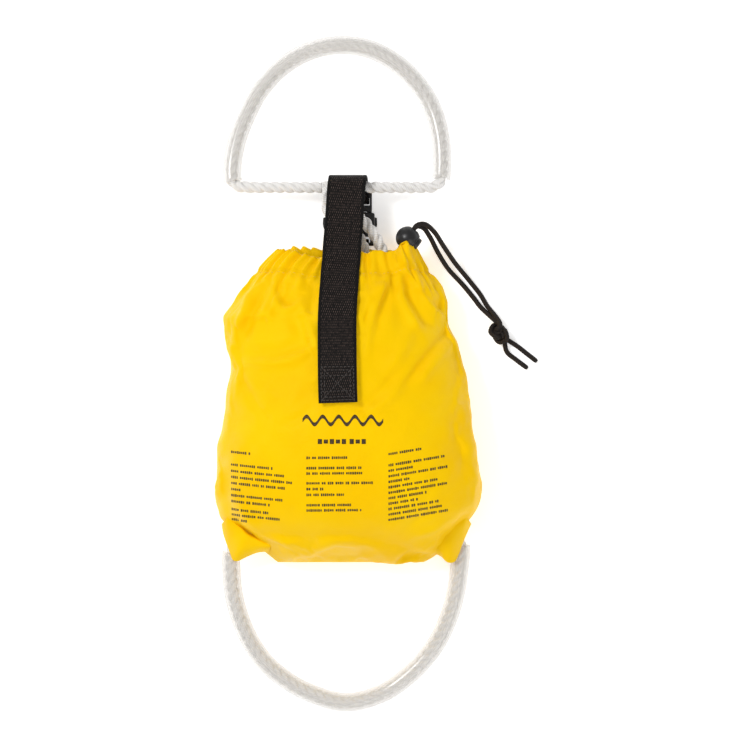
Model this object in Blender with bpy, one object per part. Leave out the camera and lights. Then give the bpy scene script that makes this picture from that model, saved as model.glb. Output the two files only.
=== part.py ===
# Throw rope bag. A drawstring bag of coated nylon holds a stuffed throw line. A rope handle in
# clear hose stands at each end, and a webbing strap with a side release buckle closes over the mouth.
# The bag lies on its back: X runs across it, Y from its closed bottom to its mouth, Z up through
# its front. Lengths are in metres; the tables are in millimetres and are scaled by MM.
import math

import bmesh
import bpy
import numpy as np
from mathutils import Matrix, Vector

MM = 0.001
GAP = 0.3                      # mm, kept between neighbouring pieces

# Bag
CLOTH = 1.2                    # mm, wall of the cloth shells
CASING_FROM = 67.0             # mm along Y, lower edge of the hem tunnel
CASING_TO = 81.6               # mm along Y, its turned edge at the mouth
TUNNEL = 4.8                   # mm, clear width of the hem tunnel
BOTTOM_Y = -126.0              # mm, the bottom seam
FRONT_ROUND_Y = -80.0          # mm, where the front starts to round down to the bottom seam
BACK_ROUND_Y = -105.0          # mm, the same for the back
SEAM_LEFT = [(-126, -52), (-119, -60), (-113, -68), (-106, -75), (-98, -83), (-84, -90),
             (-45, -88.5), (2, -81.5), (34, -81), (58, -67.5), (80, -51)]
SEAM_RIGHT = [(-126, 48), (-119, 56), (-110, 65), (-104, 72), (-97, 80), (-84, 90.4),
              (-54, 86.5), (-6, 80), (26, 72), (58, 60), (80, 48)]
SEAM_Z = [(-126, 12), (-60, 18), (30, 20), (80, 23)]
FRONT_Z = [(-126, 64), (-80, 76), (-45, 79), (-6, 75), (26, 67), (50, 58), (67, 49), (80, 41)]
BACK_Z = [(-126, 0), (15, 0), (20, 0), (45, 2.6), (67, 4.4), (80, 6)]

# Ropes and hose
ROPE = 8.0                     # mm, three strand rope
HOSE_OUT = 12.7                # mm, half inch clear hose
HOSE_IN = 9.5
CORD = 3.3                     # mm, drawstring braid

# Upper handle: the hinge line is the straight run of its rope
UPPER_HINGE = (0.0, 124.0, 19.0)
UPPER_TILT = 12.5 / 95.7       # it slopes down to the surface that the bag lies on
UPPER_ROUTE = [(-20.3, 124), (-45, 124), (-66, 124), (-72.5, 124.5), (-76.5, 127), (-77.6, 132),
               (-76.9, 143), (-73.5, 158.3), (-67.5, 173.5), (-58.5, 190), (-43.5, 205.8),
               (-24.5, 216.3), (-5, 219.7), (14.5, 216.8), (33, 206.5), (48.3, 190.3), (57, 174),
               (61.2, 157.5), (62.3, 143), (61.9, 132), (60.6, 127), (56.8, 124.5), (50.5, 124),
               (30, 124), (9.3, 124)]
UPPER_HOSE_Y = (127.2, 129.5)  # mm, heights of the hose's left and right ends

# Lower handle: the hinge line runs through the two bottom corners
LOWER_LEFT = (-78.0, -113.0, 11.5)
LOWER_RIGHT = (75.0, -108.0, 11.5)
LOWER_TILT = 4.9 / 109.0
LOWER_ROUTE = [(-60.2, -112.4), (-67, -112.6), (-73, -113.3), (-77, -116), (-78.4, -121),
               (-78.2, -134), (-76.7, -148.3), (-73, -162), (-66.8, -177), (-57.7, -191),
               (-46.5, -201.5), (-30, -211.8), (-2, -219.9), (23, -213.6), (39.5, -202.3),
               (50.8, -191), (60, -178), (66.7, -163.5), (71.2, -148.3), (73.8, -132),
               (75, -116), (73.8, -111), (69.8, -108.6), (63.5, -108.3), (56.8, -108.6)]
LOWER_HOSE_Y = (-119.3, -114.5)

# Knots: centre and half size
UPPER_KNOT = ((-5.6, 114.5, 21.0), (14.0, 12.5, 7.5))
STOPPER_LEFT = ((-52.2, -112.2, 11.8), (7.4, 7.4, 7.2))
STOPPER_RIGHT = ((48.8, -108.9, 11.8), (7.4, 7.4, 7.2))
CORD_KNOT = ((102.0, 27.2, 5.85), (7.4, 7.2, 5.5))

# Throw line from the knot into the mouth, and the knot's tail
NECK_ROUTE = [(5.5, 105.5, 23), (11, 100.5, 23.5), (16.5, 93, 24), (21.5, 84, 24), (25, 74, 24),
              (26.5, 63, 25), (26, 54.5, 27)]
KNOT_TAIL_ROUTE = [(-2, 101.4, 20), (3, 96, 19.5), (8.5, 88, 19.5), (11.5, 78, 20), (12, 66, 21)]
BUNDLE_Y = (-100.6, 49.5)      # mm, the stuffed line's ends
BUNDLE_INSET = 4.0

# Cord lock: a ball with a spring plunger across the cords
LOCK_CENTRE = (39.3, 89.6, 33.0)
CORDS_ALONG = (0.6, 0.8, 0.0)  # direction of the two cords through the ball
PLUNGER_ALONG = (0.8, -0.6, 0.0)
BALL_RADIUS = 7.9
PLUNGER_RADIUS = 4.7
PLUNGER_ENDS = (-3.0, 8.9)
BORE_END = -5.6
CORD_PAIR = 1.75               # mm, half the distance between the two cords
LOCK_REACH = 8.4               # mm, from the ball's centre to where the free strands start

# Free strands and tails of the drawstring
STRAND_A = [(50.5, 98.8, 33.4), (56.5, 94.5, 28), (63.5, 84.5, 19), (71, 74, 10.5), (81, 62, 4.4),
            (88.5, 52.5, 2.1), (94.5, 43, 2.1), (98.7, 36.2, 3.4)]
STRAND_B = [(49.6, 96.6, 29), (54, 91, 24), (60, 80, 15), (67, 69.5, 7.8), (76, 60, 2.8),
            (83.5, 51, 2), (90.5, 42, 2), (94.9, 35, 3.4)]
TAIL_A = [(108.6, 21.9, 4.4), (112.5, 18.6, 2.8), (119, 13.6, 2), (126.3, 7.9, 2)]
TAIL_B = [(103.8, 19.4, 3.6), (106, 14.6, 2.2), (112, 9.4, 2), (120, 3.4, 2)]

# Webbing and buckle
WEB_WIDTH = 25.4
WEB_THICK = 1.5
FRONT_STRAP = [(-6.3, -19), (-6.6, -10), (-6.8, 0), (-7, 20), (-7, 36), (-6.4, 50), (-5.7, 60),
               (-5.2, 68), (-4.4, 76)]          # on the bag: its height comes from the bag
STRAP_OVER = [(-4, 84, 43), (-3.2, 94, 39), (-2.4, 106, 35.5), (-1.7, 118, 33.6), (-1, 126, 31.6),
              (-0.5, 130.3, 27), (-0.2, 131.4, 20), (0.2, 130, 12.5), (0.6, 126.5, 6.4),
              (0.9, 122.8, 3.1), (1, 119, 2), (1, 115.9, 2.8), (1, 114.7, 5.8), (1, 115.9, 9),
              (1, 119, 10.1), (1, 122.2, 9.8)]
REAR_STRAP = [(1, 44.5, 1.4), (1, 60, 1.4), (1, 76, 1.4), (1, 83, 1.7), (1, 86.5, 2.6),
              (1, 88.7, 3.9), (1, 89.4, 6.2), (1, 88.7, 8.6), (1, 86.4, 9.6), (1, 84.3, 8.6),
              (1, 83.6, 6.3), (1, 82.4, 4.4), (1, 79, 3.5), (1, 74, 3.3), (1, 69, 3.3)]
BUCKLE_X = 1.0
BUCKLE_Z = (0.9, 11.5)         # socket's back and front faces
PLUG_Z = (3.6, 8.4)


def make_material(name, colour, roughness, metallic=0.0, alpha=1.0):
    material = bpy.data.materials.new(name)
    material.use_nodes = True
    shader = material.node_tree.nodes["Principled BSDF"]
    shader.inputs["Base Color"].default_value = (*colour, 1.0)
    shader.inputs["Roughness"].default_value = roughness
    shader.inputs["Metallic"].default_value = metallic
    shader.inputs["Alpha"].default_value = alpha
    return material


def add_object(name, data, material, pivot=(0.0, 0.0, 0.0)):
    """Link data as an object whose origin is the pivot (mm); data is already relative to it."""
    thing = bpy.data.objects.new(name, data)
    thing.location = Vector(pivot) * MM
    data.materials.append(material)
    bpy.context.collection.objects.link(thing)
    return thing


def mesh_from(name, points, faces, pivot=(0.0, 0.0, 0.0)):
    """A mesh of points in mm, stored in metres about the pivot, with its faces turned outwards."""
    mesh = bpy.data.meshes.new(name)
    mesh.from_pydata(((np.asarray(points, float) - pivot) * MM).tolist(), [], faces)
    work = bmesh.new()
    work.from_mesh(mesh)
    bmesh.ops.recalc_face_normals(work, faces=work.faces)
    work.to_mesh(mesh)
    work.free()
    mesh.shade_smooth()
    mesh.set_sharp_from_angle(angle=math.radians(40))
    return mesh


def grid_faces(rows, columns, around=False):
    """Quads of a rows by columns grid; around joins the last column to the first."""
    wide = columns if around else columns - 1
    faces = []
    for row in range(rows - 1):
        for column in range(wide):
            after = (column + 1) % columns
            low, high = row * columns, (row + 1) * columns
            faces.append((low + column, low + after, high + after, high + column))
    return faces


def profile(y, table):
    """A smooth value along Y through a table of (y, value): cubic pieces with shared slopes."""
    at, value = np.array(table, float).T
    slope = np.gradient(value, at)
    part = np.clip(np.searchsorted(at, y) - 1, 0, len(at) - 2)
    step = at[part + 1] - at[part]
    t = (y - at[part]) / step
    return ((1 + 2 * t) * (1 - t) ** 2 * value[part] + t * (1 - t) ** 2 * step * slope[part]
            + t * t * (3 - 2 * t) * value[part + 1] + t * t * (t - 1) * step * slope[part + 1])


def smooth_curve(points, step=0.5):
    """Dense points, about step mm apart, on a centripetal Catmull-Rom curve through the route."""
    route = np.array(points, float)
    ends = (2 * route[:1] - route[1:2], 2 * route[-1:] - route[-2:-1])
    knots = np.concatenate([ends[0], route, ends[1]])
    dense = []
    for p0, p1, p2, p3 in zip(knots, knots[1:], knots[2:], knots[3:]):
        t1 = math.sqrt(np.linalg.norm(p1 - p0))
        t2 = t1 + math.sqrt(np.linalg.norm(p2 - p1))
        t3 = t2 + math.sqrt(np.linalg.norm(p3 - p2))
        count = max(2, int(np.linalg.norm(p2 - p1) / step))
        t = np.linspace(t1, t2, count, endpoint=False)[:, None]
        a1 = (t1 - t) / t1 * p0 + t / t1 * p1
        a2 = (t2 - t) / (t2 - t1) * p1 + (t - t1) / (t2 - t1) * p2
        a3 = (t3 - t) / (t3 - t2) * p2 + (t - t2) / (t3 - t2) * p3
        b1 = (t2 - t) / t2 * a1 + t / t2 * a2
        b2 = (t3 - t) / (t3 - t1) * a2 + (t - t1) / (t3 - t1) * a3
        dense.append((t2 - t) / (t2 - t1) * b1 + (t - t1) / (t2 - t1) * b2)
    dense.append(route[-1:])
    return np.concatenate(dense)


def thin_out(dense, longest, turn=16.0):
    """Keep a point wherever the curve has run the longest distance or turned by the angle."""
    keep = [0]
    run, bend = 0.0, 0.0
    for i in range(1, len(dense) - 1):
        before, after = dense[i] - dense[i - 1], dense[i + 1] - dense[i]
        run += np.linalg.norm(before)
        cosine = before @ after / (np.linalg.norm(before) * np.linalg.norm(after))
        bend += math.degrees(math.acos(min(1.0, cosine)))
        if run >= longest or bend >= turn:
            keep.append(i)
            run, bend = 0.0, 0.0
    last = len(dense) - 1
    if np.linalg.norm(dense[keep[-1]] - dense[last]) < 0.3 * longest and len(keep) > 2:
        keep.pop()
    return dense[keep + [last]]


def poly_curve(name, points, radius, resolution, caps, pivot):
    """A POLY spline in mm points, given a round bevel of the radius."""
    curve = bpy.data.curves.new(name, "CURVE")
    curve.dimensions = "3D"
    curve.bevel_depth = radius * MM
    curve.bevel_resolution = resolution
    curve.use_fill_caps = caps
    spline = curve.splines.new("POLY")
    spline.points.add(len(points) - 1)
    local = (np.asarray(points) - pivot) * MM
    for point, place in zip(spline.points, local):
        point.co = (*place, 1.0)
    return curve


def add_rope(name, dense, diameter, material, pivot=(0.0, 0.0, 0.0), resolution=2):
    """A free or held cord: a plain round tube with a point every 2 or 3 diameters."""
    points = thin_out(dense, 2.4 * diameter)
    curve = poly_curve(name, points, diameter / 2, resolution, True, pivot)
    return add_object(name, curve, material, pivot)


def add_hose(name, dense, material, pivot):
    """Clear hose: an open round skin along the curve, given its wall inwards."""
    points = thin_out(dense, 9.0)
    curve = poly_curve(name + "_skin", points, HOSE_OUT / 2, 4, False, pivot)
    skin = bpy.data.objects.new(name + "_skin", curve)
    bpy.context.collection.objects.link(skin)
    mesh = bpy.data.meshes.new_from_object(skin)
    bpy.data.objects.remove(skin)
    mesh.name = name
    mesh.materials.clear()
    work = bmesh.new()
    work.from_mesh(mesh)
    bmesh.ops.remove_doubles(work, verts=work.verts, dist=1e-6)
    bmesh.ops.recalc_face_normals(work, faces=work.faces)
    work.to_mesh(mesh)
    work.free()
    mesh.shade_smooth()
    hose = add_object(name, mesh, material, pivot)
    wall = hose.modifiers.new("wall", "SOLIDIFY")
    wall.thickness = (HOSE_OUT - HOSE_IN) / 2 * MM
    wall.offset = -1.0
    return hose


def add_lump(name, knot, material, turns=14, rings=9):
    """A knot as one rounded lump."""
    centre, half = knot
    work = bmesh.new()
    bmesh.ops.create_uvsphere(work, u_segments=turns, v_segments=rings, radius=1.0)
    bmesh.ops.scale(work, vec=Vector(half) * MM, verts=work.verts)
    mesh = bpy.data.meshes.new(name)
    work.to_mesh(mesh)
    work.free()
    mesh.shade_smooth()
    return add_object(name, mesh, material, centre)


def add_ribbon(name, route, material, longest=9.0):
    """Webbing: a flat strip carried along the route, its width across X, closed at both ends."""
    path = thin_out(smooth_curve(route), longest, 20.0)
    along = np.gradient(path, axis=0)
    along /= np.linalg.norm(along, axis=1)[:, None]
    side = np.cross(np.cross(along, (1.0, 0.0, 0.0)), along)
    side /= np.linalg.norm(side, axis=1)[:, None]
    face = np.cross(side, along)
    corners = [(-1, -1), (1, -1), (1, 1), (-1, 1)]
    rings = [path + side * (WEB_WIDTH / 2 * s) + face * (WEB_THICK / 2 * f) for s, f in corners]
    points = np.stack(rings, axis=1).reshape(-1, 3)
    faces = grid_faces(len(path), 4, around=True)
    last = 4 * (len(path) - 1)
    faces += [(3, 2, 1, 0), (last, last + 1, last + 2, last + 3)]
    return add_object(name, mesh_from(name, points, faces), material)


def bag_section(y, turn, inset=0.0):
    """Points of the bag's cross-section at heights y, turned from the left seam (-90 degrees)
    over the front to the right seam (90) and on round the back to 270, set in by inset mm."""
    left, right = profile(y, SEAM_LEFT), profile(y, SEAM_RIGHT)
    seam = profile(y, SEAM_Z)
    turn = (np.asarray(turn) + 90) % 360 - 90
    across = np.sin(np.radians(turn))
    fall = np.clip((FRONT_ROUND_Y - y) / (FRONT_ROUND_Y - BOTTOM_Y), 0, 1)
    rise = np.clip((BACK_ROUND_Y - y) / (BACK_ROUND_Y - BOTTOM_Y), 0, 1)
    front = (profile(y, FRONT_Z) - seam) * np.sqrt(1 - fall ** 2)
    back = (seam - np.maximum(profile(y, BACK_Z), 0)) * np.sqrt(1 - rise ** 2)
    crown = np.clip(1 - np.abs(across) ** 2.4, 0, 1) ** 0.4545
    flat = np.sqrt(1 - (np.clip(np.abs(across) - 0.7, 0, 0.3) / 0.3) ** 2)
    is_front = turn <= 90
    height = np.where(is_front, (front - inset) * crown, -(back - inset) * flat)
    x = (left + right) / 2 + ((right - left) / 2 - inset) * across
    return np.stack(np.broadcast_arrays(x, y, seam + height), axis=-1)


def add_panel(name, turns, rows, lift, material):
    """One cloth panel: the outer face of the bag between two turns, given its wall inwards."""
    points = bag_section(rows[:, None], turns[None, :])
    seam = profile(rows, SEAM_Z)[:, None]
    towards = np.clip(1 - np.abs(points[..., 2] - seam) / 3.0, 0, 1)
    points[..., 2] += lift * towards
    faces = [face[::-1] for face in grid_faces(len(rows), len(turns))]
    mesh = bpy.data.meshes.new(name)
    mesh.from_pydata((points.reshape(-1, 3) * MM).tolist(), [], faces)
    mesh.shade_smooth()
    panel = add_object(name, mesh, material)
    wall = panel.modifiers.new("wall", "SOLIDIFY")
    wall.thickness = CLOTH * MM
    wall.offset = -1.0
    return panel


def cut(thing, cutter):
    """Subtract a cutter, which the build leaves out."""
    cutter.hide_render = True
    cutter.display_type = "WIRE"
    hole = thing.modifiers.new("cut", "BOOLEAN")
    hole.operation = "DIFFERENCE"
    hole.object = cutter


def add_cutter(name, centre, along, radius, length, material):
    """A round cutter of 20 sides about a centre and a direction."""
    work = bmesh.new()
    bmesh.ops.create_cone(work, cap_ends=True, segments=20, radius1=radius * MM,
                          radius2=radius * MM, depth=length * MM)
    turn = Vector(along).to_track_quat("Z", "Y").to_matrix()
    bmesh.ops.rotate(work, matrix=turn, verts=work.verts)
    mesh = bpy.data.meshes.new(name)
    work.to_mesh(mesh)
    work.free()
    return add_object(name, mesh, material, centre)


def build_bag(cloth):
    top = CASING_FROM - 2 * GAP
    slope = np.sin(np.radians(np.linspace(0, 90, 7)))[1:]
    front_rows = np.concatenate([np.linspace(top, FRONT_ROUND_Y, 13),
                                 FRONT_ROUND_Y + (BOTTOM_Y - FRONT_ROUND_Y) * slope])
    back_rows = np.concatenate([np.linspace(top, 20, 5), np.linspace(20, BACK_ROUND_Y, 6)[1:],
                                BACK_ROUND_Y + (BOTTOM_Y - BACK_ROUND_Y) * slope])
    across = np.linspace(-90, 90, 21)
    front = add_panel("bag_front_panel", across, front_rows, 2 * GAP, cloth)
    back = add_panel("bag_back_panel", 180 + across, back_rows, -2 * GAP, cloth)
    along = Vector(LOWER_RIGHT) - Vector(LOWER_LEFT)
    for side, corner, inwards in (("left", LOWER_LEFT, 0.0), ("right", LOWER_RIGHT, 0.0)):
        cutter = add_cutter("cut_corner_" + side, corner, along, ROPE / 2 + 0.6, 34.0, cloth)
        cut(front, cutter)
        cut(back, cutter)


def build_casing(cloth):
    """The hem: a strip turned over at the mouth, a tunnel open only along its stitch line."""
    deep = CLOTH + TUNNEL
    outline = [(0, CASING_FROM), (0, 79.6), (0.8, 81.1), (2.4, CASING_TO), (4.8, CASING_TO),
               (6.4, 81.1), (deep + CLOTH, 79.6), (deep + CLOTH, 70), (deep, 70), (deep, 79.2),
               (5.2, 80.4), (2, 80.4), (CLOTH, 79.2), (CLOTH, CASING_FROM)]
    turns = np.linspace(-90, 270, 48, endpoint=False)
    rings = [bag_section(np.full(turns.shape, y), turns, inset) for inset, y in outline]
    points = np.stack(rings, axis=1).reshape(-1, 3)
    count = len(outline)
    faces = grid_faces(len(turns), count, around=True)
    last = count * (len(turns) - 1)
    faces += [(last + i, last + (i + 1) % count, (i + 1) % count, i) for i in range(count)]
    casing = add_object("mouth_casing", mesh_from("mouth_casing", points, faces), cloth)
    centre = Vector(LOCK_CENTRE) - Vector(CORDS_ALONG) * 12.0
    eyelet = add_cutter("cut_eyelet", centre, CORDS_ALONG, 5.0, 14.0, cloth)
    cut(casing, eyelet)


def tunnel_point(turn):
    """A point in the middle of the hem tunnel."""
    return bag_section(74.5, turn, CLOTH + TUNNEL / 2)


def build_drawstring(braid):
    centre, along = np.array(LOCK_CENTRE), np.array(CORDS_ALONG)
    up = np.array((0.0, 0.0, CORD_PAIR))
    first = [centre + along * LOCK_REACH + up, centre + up, centre - along * 5.5 + up,
             centre - along * 8.5 + up,
             (32.0, 78.3, 35.1)]
    round_mouth = [tunnel_point(turn) for turn in np.linspace(37, 57 - 360, 25)]
    last = [(36.4, 78.3, 32.6), centre - along * 8.5 - up, centre - along * 5.5 - up, centre - up,
            centre + along * LOCK_REACH - up]
    add_rope("drawstring_loop", smooth_curve(first + round_mouth + last), CORD, braid)
    start_a = centre + along * (LOCK_REACH + GAP) + up
    start_b = centre + along * (LOCK_REACH + GAP) - up
    add_rope("drawstring_strand_a", smooth_curve([start_a, start_a + along * 2.2] + STRAND_A),
             CORD, braid)
    add_rope("drawstring_strand_b", smooth_curve([start_b, start_b + along * 1.2] + STRAND_B),
             CORD, braid)
    add_lump("drawstring_knot", CORD_KNOT, braid)
    add_rope("drawstring_tail_a", smooth_curve(TAIL_A), CORD, braid)
    add_rope("drawstring_tail_b", smooth_curve(TAIL_B), CORD, braid)


def lock_turn():
    """The lock's own axes: local Y along the cords, local Z along the plunger."""
    along, plunger = Vector(CORDS_ALONG), Vector(PLUNGER_ALONG)
    return Matrix((along.cross(plunger), along, plunger)).transposed().to_quaternion()


def cylinder(radius, low, high, sides):
    """A closed cylinder along local Z, in mm, as a bmesh."""
    work = bmesh.new()
    bmesh.ops.create_cone(work, cap_ends=True, segments=sides, radius1=radius * MM,
                          radius2=radius * MM, depth=(high - low) * MM)
    bmesh.ops.translate(work, vec=(0, 0, (low + high) / 2 * MM), verts=work.verts)
    return work


def block(low, high):
    """A closed box between two corners, in mm, as a bmesh."""
    work = bmesh.new()
    bmesh.ops.create_cube(work, size=1.0)
    size = (Vector(high) - Vector(low)) * MM
    bmesh.ops.scale(work, vec=size, verts=work.verts)
    bmesh.ops.translate(work, vec=(Vector(high) + Vector(low)) / 2 * MM, verts=work.verts)
    return work


def finish(name, work, material, pivot=(0.0, 0.0, 0.0), turn=None, smooth=35):
    mesh = bpy.data.meshes.new(name)
    work.to_mesh(mesh)
    work.free()
    mesh.shade_smooth()
    mesh.set_sharp_from_angle(angle=math.radians(smooth))
    thing = add_object(name, mesh, material, pivot)
    if turn is not None:
        thing.rotation_mode = "QUATERNION"
        thing.rotation_quaternion = turn
    return thing


def build_lock(plastic, steel):
    turn = lock_turn()
    half_slot = CORD_PAIR + CORD / 2 + 0.15
    ball = bmesh.new()
    bmesh.ops.create_uvsphere(ball, u_segments=24, v_segments=14, radius=BALL_RADIUS * MM)
    barrel = finish("cord_lock_barrel", ball, plastic, LOCK_CENTRE, turn)
    bore = finish("cut_bore", cylinder(PLUNGER_RADIUS + 0.15, BORE_END, 12, 24), plastic,
                  LOCK_CENTRE, turn)
    window = finish("cut_window", block((-half_slot, -10, -1.85), (half_slot, 10, 1.85)), plastic,
                    LOCK_CENTRE, turn)
    cut(barrel, bore)
    cut(barrel, window)
    plunger = finish("cord_lock_plunger", cylinder(PLUNGER_RADIUS, *PLUNGER_ENDS, 24), plastic,
                     LOCK_CENTRE, turn)
    slot = finish("cut_slot", block((-half_slot, -10, -1.85), (half_slot, 10, 3.7)), plastic,
                  LOCK_CENTRE, turn)
    cut(plunger, slot)
    angle = np.linspace(0, 2.5 * 2 * math.pi, 31)
    helix = np.stack([3.4 * np.cos(angle), 3.4 * np.sin(angle), np.linspace(-5.2, -3.4, 31)], 1)
    wire = poly_curve("cord_lock_spring", helix, 0.225, 1, True, (0, 0, 0))
    spring = add_object("cord_lock_spring", wire, steel, LOCK_CENTRE)
    spring.rotation_mode = "QUATERNION"
    spring.rotation_quaternion = turn


def sloped(route, hinge_y, hinge_z, tilt):
    """Give a flat route its height: it falls away from the hinge line by the tilt."""
    return [(x, y, hinge_z - abs(y - hinge_y) * tilt) for x, y in route]


def between_ends(dense, left_y, right_y, outwards):
    """The stretch of a handle's rope that lies in its hose."""
    beyond = (dense[:, 1] * outwards > np.where(dense[:, 0] < 0, left_y, right_y) * outwards)
    inside = np.flatnonzero(beyond)
    return dense[inside[0]:inside[-1] + 1]


def build_upper_handle(rope, hose):
    route = sloped(UPPER_ROUTE, UPPER_HINGE[1], UPPER_HINGE[2], UPPER_TILT)
    dense = smooth_curve(route)
    add_rope("upper_handle_rope", dense, ROPE, rope, UPPER_HINGE)
    add_hose("upper_handle_tube", between_ends(dense, *UPPER_HOSE_Y, 1), hose, UPPER_HINGE)
    add_lump("upper_handle_knot", UPPER_KNOT, rope)
    add_rope("upper_knot_tail", smooth_curve(KNOT_TAIL_ROUTE), ROPE, rope)
    add_rope("throw_line_neck", smooth_curve(NECK_ROUTE), ROPE, rope)


def build_lower_handle(rope, hose):
    left, right = np.array(LOWER_LEFT), np.array(LOWER_RIGHT)
    slope = (right[1] - left[1]) / (right[0] - left[0])
    route = []
    for x, y in LOWER_ROUTE:
        out = max(0.0, left[1] + slope * (x - left[0]) - y)
        route.append((x, y, left[2] - out * LOWER_TILT))
    ends = [(x, left[1] + slope * (x - left[0]), left[2]) for x in (-60.2, -67.5, 63.2, 56.8)]
    route = ends[:2] + route[2:-2] + ends[2:]
    dense = smooth_curve(route)
    add_rope("lower_handle_rope", dense, ROPE, rope, LOWER_LEFT)
    add_hose("lower_handle_tube", between_ends(dense, *LOWER_HOSE_Y, -1), hose, LOWER_LEFT)
    add_lump("lower_stopper_left", STOPPER_LEFT, rope)
    add_lump("lower_stopper_right", STOPPER_RIGHT, rope)


def build_bundle(rope):
    """The stuffed throw line as one solid that fills the bag, clear of its cloth."""
    rows = np.linspace(*BUNDLE_Y, 10)
    turns = np.linspace(-90, 270, 24, endpoint=False)
    points = bag_section(rows[:, None], turns[None, :], BUNDLE_INSET).reshape(-1, 3)
    faces = grid_faces(len(rows), len(turns), around=True)
    last = len(turns) * (len(rows) - 1)
    faces += [tuple(range(len(turns))), tuple(range(last, last + len(turns)))]
    add_object("throw_line_bundle", mesh_from("throw_line_bundle", points, faces), rope)


def build_straps(web):
    height = [bag_section(float(y), 0.0)[2] + 1.3 for x, y in FRONT_STRAP]
    on_bag = [(x, y, z) for (x, y), z in zip(FRONT_STRAP, height)]
    add_ribbon("front_strap", on_bag + STRAP_OVER, web)
    add_ribbon("rear_strap", REAR_STRAP, web)


def add_block(name, low, high, material, bevel=0.6):
    piece = finish(name, block(low, high), material)
    soft = piece.modifiers.new("bevel", "BEVEL")
    soft.width = bevel * MM
    soft.segments = 2
    return piece


def build_socket(plastic):
    x, (low, high) = BUCKLE_X, BUCKLE_Z
    socket = add_block("buckle_socket", (x - 16.5, 85.3, low), (x + 16.5, 107.4, high), plastic, 1.2)
    holes = [((x - 13.9, 93, low + 2), (x + 13.9, 120, high - 2)),
             ((x - 20, 95.5, low + 2), (x + 20, 104.6, high - 2)),
             ((x - 13.4, 87.6, -5), (x + 13.4, 91.4, 20)),
             ((x - 13.4, 70, -5), (x + 13.4, 88.3, low + 3.8)),
             ((x - 13.4, 70, high - 3.8), (x + 13.4, 88.3, 20))]
    for number, (start, end) in enumerate(holes):
        cut(socket, finish("cut_socket_%d" % number, block(start, end), plastic))


def build_plug(plastic):
    x, (low, high) = BUCKLE_X, PLUG_Z
    frame = add_block("buckle_plug", (x - 14.7, 108.3, low), (x + 14.7, 121, high), plastic, 0.8)
    slot = finish("cut_plug_slot", block((x - 13.2, 112.4, -5), (x + 13.2, 117.4, 20)), plastic)
    cut(frame, slot)
    guide = finish("cut_guide", block((x - 2.2, 93.5, low + 0.6), (x + 2.2, 109, high - 0.6)),
                   plastic)
    guide.hide_render = True
    guide.display_type = "WIRE"
    join = frame.modifiers.new("guide", "BOOLEAN")
    join.operation = "UNION"
    join.object = guide


def build_arm(name, side, plastic):
    """A spring arm: root at the plug's base, a thin stem, and a barb that fills the side window."""
    root = (BUCKLE_X + side * 9.4, 107.2)
    outline = [(-1.6, 0.8), (1.6, 0.8), (2.4, -1.6), (3.6, -2.6), (8.6, -2.9), (8.8, -7.5),
               (8, -11), (4.4, -11.6), (3.2, -13.4), (1.2, -13.6), (0.2, -12), (-0.6, -6)]
    low, high = PLUG_Z[0] + 0.3, PLUG_Z[1] - 0.3
    points = [(side * dx, dy, z) for z in (low, high) for dx, dy in outline]
    count = len(outline)
    faces = [tuple(range(count)), tuple(range(count, 2 * count))]
    faces += [(i, (i + 1) % count, count + (i + 1) % count, count + i) for i in range(count)]
    mesh = mesh_from(name, points, faces)
    arm = add_object(name, mesh, plastic, (*root, 0.0))
    soft = arm.modifiers.new("bevel", "BEVEL")
    soft.width = 0.4 * MM
    soft.segments = 1
    soft.limit_method = "ANGLE"
    soft.angle_limit = math.radians(50)


def main():
    for old in list(bpy.data.objects):
        bpy.data.objects.remove(old)
    cloth = make_material("yellow_coated_nylon", (0.97, 0.62, 0.006), 0.5)
    rope = make_material("white_three_strand_rope", (0.75, 0.74, 0.71), 0.7)
    hose = make_material("clear_hose", (0.8, 0.78, 0.74), 0.12, alpha=0.5)
    braid = make_material("dark_braided_cord", (0.022, 0.016, 0.012), 0.8)
    web = make_material("black_webbing", (0.018, 0.015, 0.013), 0.75)
    plastic = make_material("black_acetal", (0.016, 0.015, 0.015), 0.35)
    steel = make_material("spring_steel", (0.5, 0.5, 0.5), 0.3, metallic=1.0)
    build_bag(cloth)
    build_casing(cloth)
    build_drawstring(braid)
    build_lock(plastic, steel)
    build_upper_handle(rope, hose)
    build_lower_handle(rope, hose)
    build_bundle(rope)
    build_straps(web)
    build_socket(plastic)
    build_plug(plastic)
    build_arm("buckle_arm_left", -1, plastic)
    build_arm("buckle_arm_right", 1, plastic)


main()
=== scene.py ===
import math

import bmesh
import bpy
import numpy as np
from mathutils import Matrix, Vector


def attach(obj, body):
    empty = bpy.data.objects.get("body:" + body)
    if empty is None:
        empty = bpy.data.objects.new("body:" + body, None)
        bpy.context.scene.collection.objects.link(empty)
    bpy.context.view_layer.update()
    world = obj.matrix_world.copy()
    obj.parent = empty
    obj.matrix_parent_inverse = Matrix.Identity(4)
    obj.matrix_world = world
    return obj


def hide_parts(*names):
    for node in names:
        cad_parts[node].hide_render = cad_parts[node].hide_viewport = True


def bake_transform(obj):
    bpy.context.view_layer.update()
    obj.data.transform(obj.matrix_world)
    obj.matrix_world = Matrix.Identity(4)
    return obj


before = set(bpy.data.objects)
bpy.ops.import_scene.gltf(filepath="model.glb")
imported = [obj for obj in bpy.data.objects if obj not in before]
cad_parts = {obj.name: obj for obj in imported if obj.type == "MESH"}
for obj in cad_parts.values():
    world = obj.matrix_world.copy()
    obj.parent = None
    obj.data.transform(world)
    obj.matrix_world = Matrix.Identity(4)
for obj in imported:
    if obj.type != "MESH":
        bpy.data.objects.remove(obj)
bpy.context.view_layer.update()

mm = 0.001
scene = bpy.context.scene


# camera, floor and light

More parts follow.
